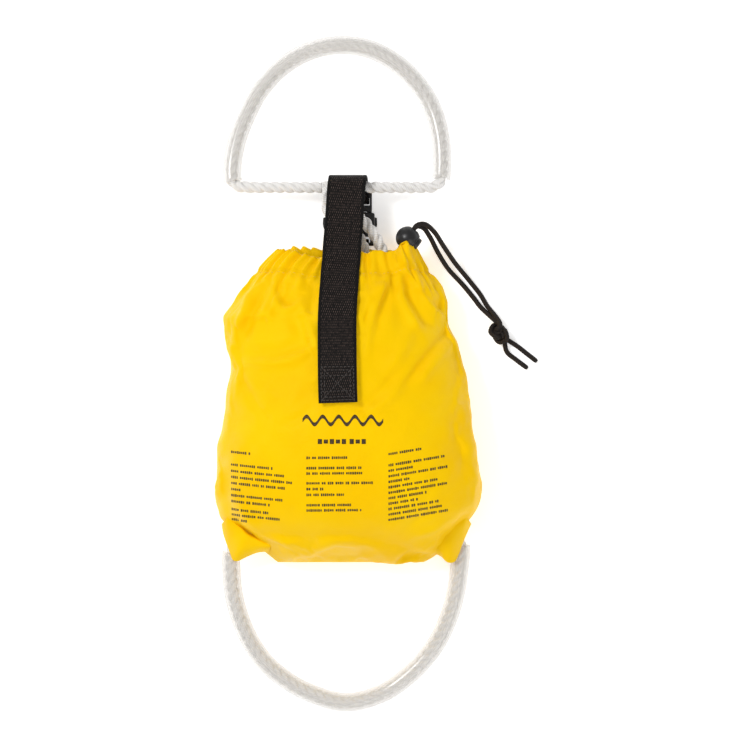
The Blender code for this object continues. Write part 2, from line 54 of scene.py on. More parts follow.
studio = dict(
    height=2.5,             # m, camera above the floor: far off, so that the view is nearly flat
    frameWidth=0.5,         # m of floor seen across the picture
    aim=(0.0177, -0.001),   # m, the middle of the view
    floorSize=9.0,
    sky=0.5,                # even white light from all round
    paperGlow=0.42,         # the paper is lit from behind too, so that it stays white
    keySize=0.45, keyPower=13.2, keyFrom=(-0.8, 0.55, 1.4),
    fillSize=1.2, fillPower=7.0, fillFrom=(0.6, -0.95, 1.2),
)


def linear(hexColour):
    # sRGB hex turned to linear light: each channel c becomes c/12.92 or ((c+0.055)/1.055)^2.4
    channels = np.array([int(hexColour[i:i + 2], 16) for i in (1, 3, 5)]) / 255
    low, high = channels / 12.92, ((channels + 0.055) / 1.055) ** 2.4
    return (*np.where(channels < 0.04045, low, high).tolist(), 1.0)


def addNode(tree, kind, settings=(), links=()):
    # one node with its settings (socket names or properties) and its incoming links
    node = tree.nodes.new("ShaderNode" + kind)
    for key, value in dict(settings).items():
        if isinstance(key, str) and hasattr(node, key):
            setattr(node, key, value)
        else:
            node.inputs[key].default_value = value
    for key, source in dict(links).items():
        tree.links.new(source, node.inputs[key])
    return node


def newMaterial(name, colour, roughness, **sockets):
    material = bpy.data.materials.new(name)
    material.use_nodes = True
    shader = material.node_tree.nodes["Principled BSDF"]
    shader.inputs["Base Color"].default_value = linear(colour)
    shader.inputs["Roughness"].default_value = roughness
    for key, value in sockets.items():
        shader.inputs[key.replace("_", " ")].default_value = value
    return material, material.node_tree, shader


def mixColours(tree, shader, factor, first, second):
    mix = addNode(tree, "Mix", {"data_type": "RGBA"}, {"Factor": factor})
    mix.inputs["A"].default_value = linear(first)
    mix.inputs["B"].default_value = linear(second)
    socket = [s for s in mix.outputs if s.type == "RGBA"][0]
    tree.links.new(socket, shader.inputs["Base Color"])


def addBump(tree, shader, height, distance, strength=1.0):
    bump = addNode(tree, "Bump", {"Distance": distance, "Strength": strength}, {"Height": height})
    tree.links.new(bump.outputs[0], shader.inputs["Normal"])


def waves(tree, source, pitch, direction):
    # parallel ridges: one cycle each pitch metres along X, Y or a diagonal of the source
    return addNode(tree, "TexWave", {"bands_direction": direction, "Scale": math.pi / (10 * pitch)},
                   {"Vector": source}).outputs["Fac"]


def combine(tree, operation, first, second):
    node = addNode(tree, "Math", {"operation": operation})
    for slot, value in ((0, first), (1, second)):
        if isinstance(value, (int, float)):
            node.inputs[slot].default_value = value
        else:
            tree.links.new(value, node.inputs[slot])
    return node.outputs[0]


def noise(tree, source, scale, detail=3.0, rough=0.5):
    return addNode(tree, "TexNoise", {"Scale": scale, "Detail": detail, "Roughness": rough},
                   {"Vector": source}).outputs["Fac"]


def uvOf(tree):
    return addNode(tree, "TexCoord").outputs["UV"]


def objectOf(tree):
    return addNode(tree, "TexCoord").outputs["Object"]


def remap(tree, value, low, high, toLow, toHigh):
    return addNode(tree, "MapRange", {"From Min": low, "From Max": high, "To Min": toLow,
                                      "To Max": toHigh}, {"Value": value}).outputs[0]


# materials

def coatedNylon():
    # plain woven nylon, polyurethane coated: even bright yellow, satin, a fine thread grid, faint
    # creasing. UV is in metres of cloth; the 0.35 mm threads are drawn at 0.8 mm so that they show.
    material, tree, shader = newMaterial("coatedNylonWoven", "#FDCE02", 0.42)
    shader.inputs["Specular IOR Level"].default_value = 0.14
    shader.inputs["Specular Tint"].default_value = linear("#FFE08A")
    cloth, place = uvOf(tree), objectOf(tree)
    tone = noise(tree, place, 22.0, 3.0)
    mixColours(tree, shader, remap(tree, tone, 0.3, 0.7, 0.0, 1.0), "#FFD002", "#FBC600")
    weave = combine(tree, "MULTIPLY", waves(tree, cloth, 0.0008, "X"), waves(tree, cloth, 0.0008, "Y"))
    crumple = noise(tree, place, 150.0, 4.0, 0.6)
    crease = addNode(tree, "TexNoise", {"noise_type": "RIDGED_MULTIFRACTAL", "Scale": 26.0,
                                        "Detail": 2.0, "Distortion": 0.6}, {"Vector": place}).outputs[0]
    fine = combine(tree, "ADD", combine(tree, "MULTIPLY", weave, 0.3), crumple)
    height = combine(tree, "ADD", fine, combine(tree, "MULTIPLY", crease, 0.9))
    addBump(tree, shader, height, 0.0004, 0.7)
    tree.links.new(remap(tree, noise(tree, place, 60.0), 0.3, 0.7, 0.36, 0.5),
                   shader.inputs["Roughness"])
    return material


def strandedRope():
    # three strand polypropylene, laid: off white, slightly waxy, each strand of fine parallel yarns; its
    # colour carries painted shade, grey in the grooves between the yarns
    material, tree, shader = newMaterial("polypropyleneRopeLaid", "#E9E6E1", 0.5)
    shader.inputs["Subsurface Weight"].default_value = 0.12
    shader.inputs["Subsurface Radius"].default_value = (0.002, 0.002, 0.0018)
    shader.inputs["Sheen Weight"].default_value = 0.2
    thread = uvOf(tree)
    yarnAndGrooveShade = waves(tree, thread, 0.0011, "DIAGONAL")
    fuzz = noise(tree, objectOf(tree), 900.0, 3.0)
    # painted shade: white on the yarns' crowns, grey in the grooves between them where shade falls
    mixColours(tree, shader, yarnAndGrooveShade, "#E2DDD6", "#FFFFFF")
    addBump(tree, shader, combine(tree, "ADD", yarnAndGrooveShade, combine(tree, "MULTIPLY", fuzz, 0.5)),
            0.0003, 0.8)
    return material


def clearHose(name, cover):
    # extruded clear vinyl, see-through with a faint warm grey: each skin covers a share of what is
    # behind it, most of it on the outer skin. The die leaves fine lines along the hose
    material, tree, shader = newMaterial(name, "#D9D5CF", 0.16, IOR=1.52)
    shader.inputs["Specular IOR Level"].default_value = 1.0
    streak = addNode(tree, "Mapping", {"Scale": (1.0, 0.03, 1.0)}, {"Vector": uvOf(tree)})
    lines = noise(tree, streak.outputs[0], 420.0, 2.0)
    addBump(tree, shader, lines, 0.0001, 0.4)
    tree.links.new(remap(tree, lines, 0.35, 0.65, cover - 0.05, cover + 0.05), shader.inputs["Alpha"])
    return material


def braidedCord():
    # round braid of dyed polyester: near black with a brown cast, dull, fine crossing yarns
    material, tree, shader = newMaterial("polyesterCordBraided", "#0E0A09", 0.7)
    shader.inputs["Specular IOR Level"].default_value = 0.3
    cord = uvOf(tree)
    first = waves(tree, cord, 0.0009, "DIAGONAL")
    turned = addNode(tree, "Mapping", {"Scale": (-1.0, 1.0, 1.0)}, {"Vector": cord})
    second = waves(tree, turned.outputs[0], 0.0009, "DIAGONAL")
    cross = combine(tree, "MAXIMUM", first, second)
    mixColours(tree, shader, cross, "#060504", "#231B17")
    addBump(tree, shader, cross, 0.0002, 0.6)
    return material


def cosine(tree, value, pitch):
    # cos(2 pi value / pitch)
    turned = combine(tree, "MULTIPLY", value, 2 * math.pi / pitch)
    return combine(tree, "COSINE", turned, 0.0)


def nylonWebbing():
    # flat woven nylon webbing: black, dull. Where its raised cross threads catch the light it carries
    # painted highlights, short pale dashes moved on by half in each row, because cos(2 pi x / q) cos(pi y
    # / p) is high in a checker, broken up by painted glints from a noise; the two selvages are plain. UV
    # is across and along the tape in metres.
    material, tree, shader = newMaterial("nylonWebbingWoven", "#0A0706", 0.65)
    shader.inputs["Specular IOR Level"].default_value = 0.16
    tape = uvOf(tree)
    split = addNode(tree, "SeparateXYZ", (), {"Vector": tape})
    across, along = split.outputs[0], split.outputs[1]
    checker = combine(tree, "MULTIPLY", cosine(tree, across, 0.0013), cosine(tree, along, 0.0036))
    inside = combine(tree, "LESS_THAN", combine(tree, "ABSOLUTE", across, 0.0), 0.0106)
    # painted glints: a noise that brightens some highlighted dashes more than others
    paintedGlint = remap(tree, noise(tree, tape, 520.0, 2.0, 0.7), 0.35, 0.62, 0.25, 1.0)
    lit = combine(tree, "MULTIPLY", combine(tree, "MULTIPLY", checker, inside), paintedGlint)
    # painted highlights: pale dashes on the raised cross threads, mixed onto the black webbing
    mixColours(tree, shader, remap(tree, lit, 0.15, 0.85, 0.0, 1.0), "#070504", "#5E4F48")
    addBump(tree, shader, combine(tree, "ADD", checker, noise(tree, tape, 1400.0, 2.0)), 0.0002, 0.6)
    return material


def mouldedAcetal():
    # injection moulded acetal: black, satin, a very fine spark eroded grain and faint scuffs
    material, tree, shader = newMaterial("acetalMoulded", "#191819", 0.36, IOR=1.48)
    place = objectOf(tree)
    grain = noise(tree, place, 2600.0, 2.0)
    scuff = noise(tree, place, 240.0, 4.0, 0.65)
    mixColours(tree, shader, remap(tree, scuff, 0.52, 0.75, 0.0, 1.0), "#161516", "#2B2A2B")
    addBump(tree, shader, grain, 0.00006, 0.5)
    tree.links.new(remap(tree, scuff, 0.35, 0.7, 0.28, 0.5), shader.inputs["Roughness"])
    return material


def springSteel():
    # drawn steel wire: bright, with fine lines along it
    material, tree, shader = newMaterial("springSteelDrawn", "#B9B9BC", 0.28)
    shader.inputs["Metallic"].default_value = 1.0
    addBump(tree, shader, noise(tree, objectOf(tree), 3000.0, 2.0), 0.00003, 0.4)
    return material


def screenInk():
    # screen printed ink: brown black, matt, laid thinly so that the edge of the cloth grain shows
    material, tree, shader = newMaterial("inkScreenPrinted", "#3B2A10", 0.7)
    patchy = noise(tree, objectOf(tree), 900.0, 3.0)
    mixColours(tree, shader, remap(tree, patchy, 0.45, 0.8, 0.0, 1.0), "#33240D", "#6A4E12")
    addBump(tree, shader, patchy, 0.00005, 0.4)
    return material


def sewingThread(name, dark, light):
    # bonded polyester thread: two plies twisted, a slight sheen
    material, tree, shader = newMaterial(name, dark, 0.45)
    twist = noise(tree, objectOf(tree), 2200.0, 2.0)
    mixColours(tree, shader, twist, dark, light)
    addBump(tree, shader, twist, 0.00008, 0.5)
    return material


finish = dict(
    nylon=coatedNylon(), rope=strandedRope(), hose=clearHose("clearVinylExtruded", 0.36),
    bore=clearHose("clearVinylBore", 0.07), braid=braidedCord(),
    webbing=nylonWebbing(), acetal=mouldedAcetal(), steel=springSteel(), ink=screenInk(),
    blackThread=sewingThread("threadBondedBlack", "#241F1D", "#453D3A"),
    yellowThread=sewingThread("threadBondedYellow", "#D9A800", "#FFD93A"),
)
print("materials ready")


# shapes as whole arrays

def smoothCurve(route, step=0.4):
    # centripetal Catmull-Rom: between two route points the curve blends the four nearest points,
    # with the parameter running as the square root of their distances. Route and result in mm.
    route = np.array(route, float)
    knots = np.concatenate([2 * route[:1] - route[1:2], route, 2 * route[-1:] - route[-2:-1]])
    runs = []
    for p0, p1, p2, p3 in zip(knots, knots[1:], knots[2:], knots[3:]):
        t1, t2, t3 = np.cumsum([math.sqrt(np.linalg.norm(b - a)) for a, b in
                                ((p0, p1), (p1, p2), (p2, p3))])
        t = np.linspace(t1, t2, max(2, int(np.linalg.norm(p2 - p1) / step)), endpoint=False)[:, None]
        a1 = (t1 - t) / t1 * p0 + t / t1 * p1
        a2 = (t2 - t) / (t2 - t1) * p1 + (t - t1) / (t2 - t1) * p2
        a3 = (t3 - t) / (t3 - t2) * p2 + (t - t2) / (t3 - t2) * p3
        b1 = (t2 - t) / t2 * a1 + t / t2 * a2
        b2 = (t3 - t) / (t3 - t1) * a2 + (t - t1) / (t3 - t1) * a3
        runs.append((t2 - t) / (t2 - t1) * b1 + (t - t1) / (t2 - t1) * b2)
    return np.concatenate(runs + [route[-1:]])


def lengthsAlong(path):
    return np.concatenate([[0.0], np.cumsum(np.linalg.norm(np.diff(path, axis=0), axis=1))])


def sampled(line, run, at):
    # the points of a line at given lengths along it
    return np.stack([np.interp(at, run, line[:, k]) for k in range(line.shape[1])], 1)


def evenly(path, step):
    # the same line with points a constant distance apart
    run = lengthsAlong(path)
    return sampled(path, run, np.linspace(0, run[-1], max(3, int(round(run[-1] / step)) + 1)))


def framesAlong(path):
    # a frame carried along the line without twisting: each normal is the last one, with its part
    # along the new tangent taken out
    tangent = np.gradient(path, axis=0)
    tangent /= np.linalg.norm(tangent, axis=1)[:, None]
    normal = np.array((0.0, 0.0, 1.0))
    normals = np.empty_like(path)
    for i, t in enumerate(tangent):
        normal = normal - t * (normal @ t)
        normal /= np.linalg.norm(normal)
        normals[i] = normal
    return tangent, normals, np.cross(tangent, normals)


def quadsOf(grid):
    # the four corners of each square in a grid, in turn
    return np.stack([grid[:-1, :-1], grid[:-1, 1:], grid[1:, 1:], grid[1:, :-1]], 2)


def closeSeams(mesh, gap=1e-7, fill=False):
    # points less than gap metres apart become one, open edges are filled if asked, and the faces
    # turn outward
    work = bmesh.new()
    work.from_mesh(mesh)
    if gap:
        bmesh.ops.remove_doubles(work, verts=work.verts, dist=gap)
    if fill:
        bmesh.ops.holes_fill(work, edges=work.edges, sides=0)
    bmesh.ops.recalc_face_normals(work, faces=work.faces)
    work.to_mesh(mesh)
    work.free()


def surfaceMesh(name, points, uv, around=False, capped=False):
    # a grid of points (mm) turned into quads; around joins the last column to the first, and
    # capped closes both ends with a fan about the middle of the ring
    rows, columns = points.shape[:2]
    index = np.arange(rows * columns).reshape(rows, columns)
    if around:
        index = np.concatenate([index, index[:, :1]], 1)
    verts = points.reshape(-1, 3)
    faces = quadsOf(index).reshape(-1, 4).tolist()
    faceUv = [quadsOf(uv).reshape(-1, 2)]
    if capped:
        for end, order in ((0, slice(None, None, -1)), (-1, slice(None))):
            rim = np.stack([index[end, :-1], index[end, 1:]], 1)[:, order]
            middle = np.full((len(rim), 1), len(verts))
            verts = np.concatenate([verts, points[end].mean(0)[None]])
            faces += np.concatenate([rim, middle], 1).tolist()
            faceUv.append(np.tile(uv[end, :1], (3 * len(rim), 1)))
    mesh = bpy.data.meshes.new(name)
    mesh.from_pydata((verts * mm).tolist(), [], faces)
    layer = mesh.uv_layers.new(name="UVMap")
    layer.data.foreach_set("uv", np.concatenate(faceUv).astype(np.float32).ravel())
    mesh.shade_smooth()
    return mesh


def addPiece(name, mesh, material, body, nodes=()):
    piece = bpy.data.objects.new(name, mesh)
    scene.collection.objects.link(piece)
    mesh.materials.append(material)
    if body:
        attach(piece, body)
    if nodes:
        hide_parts(*nodes)
    return piece


def plainUv(points, high, wide):
    # UV in metres for a closed grid: high down its rows and wide round its columns
    rows, columns = points.shape[:2]
    return np.stack(np.meshgrid(np.linspace(0, high, rows), np.linspace(0, wide, columns + 1),
                                indexing="ij"), -1)


def carriedTube(name, path, radius, angles, turnUv=0.0):
    # a round profile of given radii (stations x angles, mm) carried along the path
    tangent, normal, side = framesAlong(path)
    ring = normal[:, None] * np.cos(angles)[..., None] + side[:, None] * np.sin(angles)[..., None]
    points = path[:, None] + ring * radius[..., None]
    run = lengthsAlong(path)
    around = np.linspace(0, 1, angles.shape[-1] + 1)
    girth = 2 * math.pi * radius.mean() * mm
    u = around[None, :] * girth + turnUv * run[:, None] * mm
    v = np.broadcast_to(run[:, None] * mm, u.shape)
    return surfaceMesh(name, points, np.stack([u, v], -1), around=True, capped=True)


def laidRope(name, path, diameter, step=1.0, sides=30, lay=2.5, soften=0.5, seize=(1, 1)):
    # three round strands twisted together: in polar form each strand's outline is
    # r = c cos(a) + sqrt(s*s - c*c sin(a)^2) about its own middle, and the outline turns once
    # each lay diameters along the rope; an end that shows is seized shut
    path = evenly(path, step)
    strand = diameter / 2 / 2.1547
    centre = strand * 1.1547
    run = lengthsAlong(path)
    flat = np.linspace(0, 2 * math.pi, sides, endpoint=False)
    turn = 2 * math.pi * run / (lay * diameter)
    inLobe = (flat[None, :] - turn[:, None] + math.pi / 3) % (2 * math.pi / 3) - math.pi / 3
    root = np.sqrt(np.maximum(strand ** 2 - (centre * np.sin(inLobe)) ** 2, 0))
    radius = np.maximum(centre * np.cos(inLobe) + root, soften * diameter / 2)
    for wanted, out in zip(seize, (run, run[-1] - run)):
        ends = np.clip(out / (0.35 * diameter), 0, 1) if wanted else 1.0
        radius = radius * np.sqrt(0.3 + 0.7 * ends * np.ones(len(path)))[:, None]
    angles = np.broadcast_to(flat, radius.shape)
    return carriedTube(name, path, radius, angles, turnUv=1 / 1.6), path


def braidTube(name, path, diameter, step=0.55, sides=20):
    # a round cord whose two sets of yarns cross: r = R (1 + k |sin(4a + wz) sin(4a - wz)|)
    path = evenly(path, step)
    run = lengthsAlong(path)
    angles = np.broadcast_to(np.linspace(0, 2 * math.pi, sides, endpoint=False), (len(path), sides))
    wave = 2 * math.pi * run[:, None] / (1.35 * diameter)
    weave = np.abs(np.sin(4 * angles + wave) * np.sin(4 * angles - wave))
    ends = np.clip(np.minimum(run, run[-1] - run) / (0.4 * diameter), 0, 1)
    radius = diameter / 2 * (0.94 + 0.1 * weave) * np.sqrt(0.35 + 0.65 * ends)[:, None]
    return carriedTube(name, path, radius, angles), path


def profile(y, table):
    # cubic pieces through (y, value), with shared slopes
    at, value = np.array(table, float).T
    slope = np.gradient(value, at)
    part = np.clip(np.searchsorted(at, y) - 1, 0, len(at) - 2)
    step = at[part + 1] - at[part]
    t = (y - at[part]) / step
    return ((1 + 2 * t) * (1 - t) ** 2 * value[part] + t * (1 - t) ** 2 * step * slope[part]
            + t * t * (3 - 2 * t) * value[part + 1] + t * t * (t - 1) * step * slope[part + 1])


def distanceTo(points, line):
    # distance in the flat from points to a bent line, and how far along the line (0 to 1) it is
    line = np.array(line, float)
    best = np.full(points.shape[:-1], 1e9)
    along = np.zeros(points.shape[:-1])
    lengths = lengthsAlong(line)
    for a, b, start in zip(line, line[1:], lengths):
        span = b - a
        t = np.clip(((points - a) @ span) / (span @ span), 0, 1)
        gap = np.linalg.norm(points - a - t[..., None] * span, axis=-1)
        along = np.where(gap < best, (start + t * np.linalg.norm(span)) / lengths[-1], along)
        best = np.minimum(best, gap)
    return best, along


def stitches(name, centres, along, out, material, body, length, thick):
    # each stitch is a short rounded pad: an ellipsoid, flattened where it sinks in the cloth
    polar, turn = np.meshgrid(np.linspace(0, math.pi, 6), np.linspace(0, 2 * math.pi, 7)[:-1],
                              indexing="ij")
    unit = np.stack([np.cos(polar) * length / 2, np.sin(polar) * np.cos(turn) * thick,
                     np.sin(polar) * np.sin(turn) * thick * 0.8], -1)
    along = along / np.linalg.norm(along, axis=-1, keepdims=True)
    side = np.cross(out, along)
    side /= np.linalg.norm(side, axis=-1, keepdims=True)
    lift = np.cross(along, side)
    axes = np.stack([along, side, lift], 1)
    verts = centres[:, None, None] + np.einsum("rcj,njk->nrck", unit, axes)
    rows, columns = unit.shape[:2]
    index = np.arange(rows * columns).reshape(rows, columns)
    index = np.concatenate([index, index[:, :1]], 1)
    quads = quadsOf(index)[..., [0, 3, 2, 1]]
    every = quads.reshape(1, -1, 4) + np.arange(len(centres))[:, None, None] * rows * columns
    mesh = bpy.data.meshes.new(name)
    mesh.from_pydata((verts.reshape(-1, 3) * mm).tolist(), [], every.reshape(-1, 4).tolist())
    closeSeams(mesh)
    mesh.shade_smooth()
    addPiece(name, mesh, material, body)


# the bag's cloth

bag = dict(
    left=[(-126, -47), (-121, -53), (-115, -62), (-108, -74), (-101, -84), (-93, -88), (-84, -90.4),
          (-60, -90.2), (-46, -89.4), (-32, -85.8), (-14, -84), (2, -81), (18, -83), (30, -82.2),
          (38, -80.2), (50, -72.6), (62, -65), (71, -58), (77, -52.5), (82, -47)],
    right=[(-126, 50), (-121, 60), (-115, 69.5), (-109, 75), (-103, 79.5), (-97, 84.5), (-88, 89.6),
           (-76, 90.4), (-62, 87.8), (-46, 85.2), (-30, 84), (-14, 80.8), (2, 79), (18, 74.6),
           (34, 68.6), (50, 63.4), (62, 57.4), (71, 52.2), (77, 48.6), (82, 46)],
    seam=[(-126, 12), (-60, 18), (30, 20), (82, 23)],
    front=[(-126, 62), (-80, 75), (-45, 78), (-6, 74), (26, 66), (50, 57), (67, 48.4), (82, 40.2)],
    back=[(-126, 0.4), (15, 0.4), (20, 0.4), (45, 2.6), (67, 4.4), (82, 6.2)],
    bottom=-126.0, frontRound=-80.0, backRound=-105.0,
    hemTop=81.6, stitchLine=67.0, hemFloor=67.0,
    flat=(0.215, 0.215),    # m, each panel as it was cut
    columns=176, hemRows=13, sideRows=70, roundRows=26,
    gathers=41, gatherDepth=2.0, wall=0.5,
    turnOver=[(-0.9, 0.9), (-2.4, 1.5), (-5.2, 1.5), (-7.0, 0.6)],    # inwards and up at the hem's top
    lining=7.4,             # from the hem's outside to its inner layer
)

# the cloth simulation: air pressure and stiffnesses in Blender's units, and the furthest move in mm
cloth = dict(frames=20, quality=6, mass=0.1, pressure=4.0, shrink=-0.05, tension=15, compression=10,
             shear=4, bending=0.05, furthest=3.0)

# soft folds of the front: the line (mm, X and Y), half width and height; a valley is below zero
folds = [
    ([(-49, 57), (-47, 47), (-42, 41), (-35, 42.5), (-30, 49)], 2.0, 1.9),
    ([(-46, 56), (-44, 50), (-39, 47), (-34, 50)], 2.4, -1.6),
    ([(-31, 49), (-28, 38), (-23, 24), (-18, 11)], 2.4, 2.0),
    ([(-36, 36), (-31, 26), (-26, 15)], 3.6, -1.3),
    ([(-74, 9), (-62, 7.5), (-48, 6.5), (-37, 8.5), (-27, 14), (-20, 21)], 2.7, 1.9),
    ([(-72, 15), (-60, 14), (-46, 14), (-36, 17), (-29, 24)], 4.8, -1.7),
    ([(-77, 14), (-73, 30), (-67, 46), (-60, 60)], 2.6, 1.8),
    ([(-69, 22), (-65, 38), (-57, 54)], 3.4, -1.9),
    ([(-74, 3), (-68, -8), (-61, -20), (-49, -34)], 2.8, -1.2),
    ([(-70, 0), (-60, -8), (-46, -16)], 3.0, 0.9),
    ([(26, 67), (21, 52), (16, 37), (13, 22), (12, 6)], 2.0, 1.9),
    ([(31, 66), (27, 52), (22, 38), (18, 26)], 2.4, -1.5),
    ([(43, 70), (48, 53), (58, 40), (68, 35)], 2.0, 1.9),
    ([(39, 66), (41, 52), (50, 37), (60, 30)], 3.0, -2.0),
    ([(34, 66), (35, 50), (42, 36), (50, 25)], 3.2, 1.6),
    ([(70, 33), (61, 22), (51, 10), (42, -2), (33, -11)], 1.7, -1.9),
    ([(72, 25), (63, 15), (54, 4), (45, -8)], 2.8, 1.5),
    ([(33, 2), (22, -10), (13, -19), (2, -27)], 2.0, -1.3),
    ([(38, -4), (28, -15), (16, -25)], 2.8, 1.1),
    ([(7, -20), (12, -26), (20, -33)], 2.2, -1.2),
    ([(-22, -20), (-30, -28), (-42, -34)], 2.6, -0.9),
    ([(47, 38), (38, 20), (29, 2)], 4.0, 1.2),
    ([(-81, -60), (-83, -80), (-77, -96)], 4.2, -1.8),
    ([(-72, -84), (-66, -96), (-58, -105)], 3.6, 1.3),
    ([(-79, -95), (-71, -104), (-61, -111)], 2.6, -1.8),
    ([(79, -92), (71, -103), (59, -112)], 2.8, -1.8),
    ([(40, -99), (52, -93), (62, -85)], 2.2, -1.2),
    ([(43, -107), (55, -103), (66, -96)], 2.4, 1.3),
    ([(84, -42), (80, -56), (84, -72)], 3.2, 1.3),
    ([(76, -20), (70, -34), (72, -48)], 3.0, -0.9),
]

# how far the hem's front edge stands above or below a straight line (X, mm)
hemRise = [(-60, 0), (-47, 0.5), (-38, 0), (-30, -2.5), (-22, -5.5), (-10, -4.5), (6, -3), (12, -2),
           (19, -0.4), (25, -1.8), (31, -0.2), (35, 3.4), (39, 4.6), (45, 1.6), (52, 0)]


def ballPeak(points):
    # the hem stands up in a peak in front of the cord lock
    x, y, z = np.moveaxis(points, -1, 0)
    rise = np.clip((y - 60) / 20, 0, 1)
    front = np.clip((z - 23) / 5, 0, 1)
    return 9.5 * np.exp(-((x - 38.5) / 6.6) ** 2) * rise * rise * (3 - 2 * rise) * front


def bagPoint(y, turn, inset=0.0):
    # the bag's section at height y: turn runs -90 (left seam), 0 (front middle), 90 (right seam),
    # 180 (back middle). Across it is a sine; the front is a crowned power curve of it, and the back
    # is flat in the middle with round sides. Both heights fall as a circle towards the bottom seam.
    left, right = profile(y, bag["left"]), profile(y, bag["right"])
    seam = profile(y, bag["seam"])
    turn = (np.asarray(turn) + 90) % 360 - 90
    across = np.sin(np.radians(turn))
    fall = np.clip((bag["frontRound"] - y) / (bag["frontRound"] - bag["bottom"]), 0, 1)
    rise = np.clip((bag["backRound"] - y) / (bag["backRound"] - bag["bottom"]), 0, 1)
    front = (profile(y, bag["front"]) - seam) * np.sqrt(1 - fall ** 2)
    back = (seam - profile(y, bag["back"])) * np.sqrt(1 - rise ** 2)
    crown = np.clip(1 - np.abs(across) ** 2.4, 0, 1) ** 0.4545
    flat = np.sqrt(1 - (np.clip(np.abs(across) - 0.7, 0, 0.3) / 0.3) ** 2)
    height = np.where(turn <= 90, (front - inset) * crown, -(back - inset) * flat)
    x = (left + right) / 2 + ((right - left) / 2 - inset) * across
    return np.stack(np.broadcast_arrays(x, y, seam + height), axis=-1)


def bagRows():
    hem = np.linspace(bag["hemTop"], bag["stitchLine"], bag["hemRows"])
    side = np.linspace(bag["stitchLine"], bag["frontRound"], bag["sideRows"])[1:]
    angle = np.linspace(0, math.pi / 2, bag["roundRows"])[1:]
    low = bag["frontRound"] + (bag["bottom"] - bag["frontRound"]) * np.sin(angle)
    return np.concatenate([hem, side, low])


def outwards(points):
    # unit normals of a grid that closes on itself in its columns
    across = np.roll(points, -1, 1) - np.roll(points, 1, 1)
    down = np.gradient(points, axis=0)
    normal = np.cross(down, across)
    size = np.linalg.norm(normal, axis=-1, keepdims=True)
    return normal / np.maximum(size, 1e-9)


def gathered(points, turns, rows):
    # the hem is drawn up by the cord: puffed ridges with sharp valleys, |sin|^0.8, run round it,
    # uneven in pitch and depth, full at the hem and dying away below the stitch line
    phase = np.radians(turns)
    pitch = bag["gathers"] * phase + 1.7 * np.sin(3 * phase + 0.6) + 1.1 * np.sin(7 * phase + 2.0)
    ridge = 2.4 * np.abs(np.sin(pitch / 2)) ** 0.8 - 1.6 + 0.4 * np.cos(0.53 * pitch + 1.0)
    depth = bag["gatherDepth"] * (0.75 + 0.35 * np.sin(2 * phase + 0.8) * np.cos(5 * phase))
    below = np.clip(bag["stitchLine"] - rows, 0, None)
    fade = np.where(rows > bag["stitchLine"], 1.0, np.exp(-(below / 13.0)))
    pinch = 1 - 0.45 * np.exp(-((rows - bag["stitchLine"]) / 1.6) ** 2)
    push = ridge[None, :] * depth[None, :] * (fade * pinch)[:, None]
    longer = np.exp(-(below / 34.0)) * np.clip(below / 10, 0, 1)
    push = push + 1.2 * np.cos(pitch * 0.31 + 0.5)[None, :] * longer[:, None]
    hollow = -1.1 * np.exp(-((rows - bag["stitchLine"]) / 1.8) ** 2)[:, None]
    return points + outwards(points) * (push + hollow)[..., None]


def billow(points, held):
    # the cloth is blown out a little by the line stuffed in it: Blender's cloth with pressure, held
    # at the hem, under the strap and at the bottom corners; no point moves past the furthest move
    rows, columns = points.shape[:2]
    flatUv = np.zeros((rows, columns + 1, 2))
    mesh = surfaceMesh("billowing", points, flatUv, around=True)
    piece = bpy.data.objects.new("billowing", mesh)
    scene.collection.objects.link(piece)
    group = piece.vertex_groups.new(name="held")
    group.add(np.flatnonzero(held.ravel() > 0.5).tolist(), 1.0, "REPLACE")
    billows = piece.modifiers.new("billow", "CLOTH")
    settings = billows.settings
    settings.quality = cloth["quality"]
    settings.mass = cloth["mass"]
    settings.use_pressure = True
    settings.uniform_pressure_force = cloth["pressure"]
    settings.vertex_group_mass = "held"
    settings.shrink_min = cloth["shrink"]
    for kind in ("tension", "compression", "shear", "bending"):
        setattr(settings, kind + "_stiffness", cloth[kind])
    settings.effector_weights.gravity = 0
    billows.point_cache.frame_start, billows.point_cache.frame_end = 1, cloth["frames"]
    for number in range(1, cloth["frames"] + 1):
        scene.frame_set(number)
    shown = piece.evaluated_get(bpy.context.evaluated_depsgraph_get()).to_mesh()
    moved = np.empty(rows * columns * 3)
    shown.vertices.foreach_get("co", moved)
    moved = moved.reshape(rows, columns, 3) / mm
    scene.frame_set(1)
    bpy.data.objects.remove(piece)
    step = moved - points
    size = np.linalg.norm(step, axis=-1, keepdims=True)
    print("cloth moved up to %.1f mm, mean %.1f" % (size.max(), size.mean()))
    return points + step * np.minimum(1, cloth["furthest"] / np.maximum(size, 1e-9))


def folded(points, turns):
    # each fold is a ridge or valley whose height falls off as a bell across its line and eases to
    # nothing at its two ends; only the front carries them
    front = np.clip(np.cos(np.radians(turns)) * 3, 0, 1)[None, :]
    push = np.zeros(points.shape[:2])
    for line, width, height in folds:
        gap, along = distanceTo(points[..., :2], line)
        ends = np.clip(np.minimum(along, 1 - along) / 0.22, 0, 1)
        ends = ends * ends * (3 - 2 * ends)
        push += 1.45 * height * np.exp(-(gap / width) ** 2) * (0.25 + 0.75 * ends)
    return points + outwards(points) * (push * front)[..., None]


def rumpled(points):
    # small loose waves: sums of slanted sines of different pitch, under half a millimetre high
    x, y, z = np.moveaxis(points, -1, 0)
    wave = (0.3 * np.sin(0.13 * x + 0.21 * y + 1.6 * np.sin(0.07 * y + 0.05 * x))
            + 0.2 * np.sin(-0.29 * x + 0.16 * y + 1.8 * np.sin(0.09 * x - 0.06 * y) + 1.0)
            + 0.1 * np.sin(0.51 * x - 0.37 * y + 0.07 * z + 1.5 * np.sin(0.19 * y) + 2.2))
    wave = wave * np.clip((y + 122) / 30, 0.1, 1)
    return points + outwards(points) * wave[..., None]


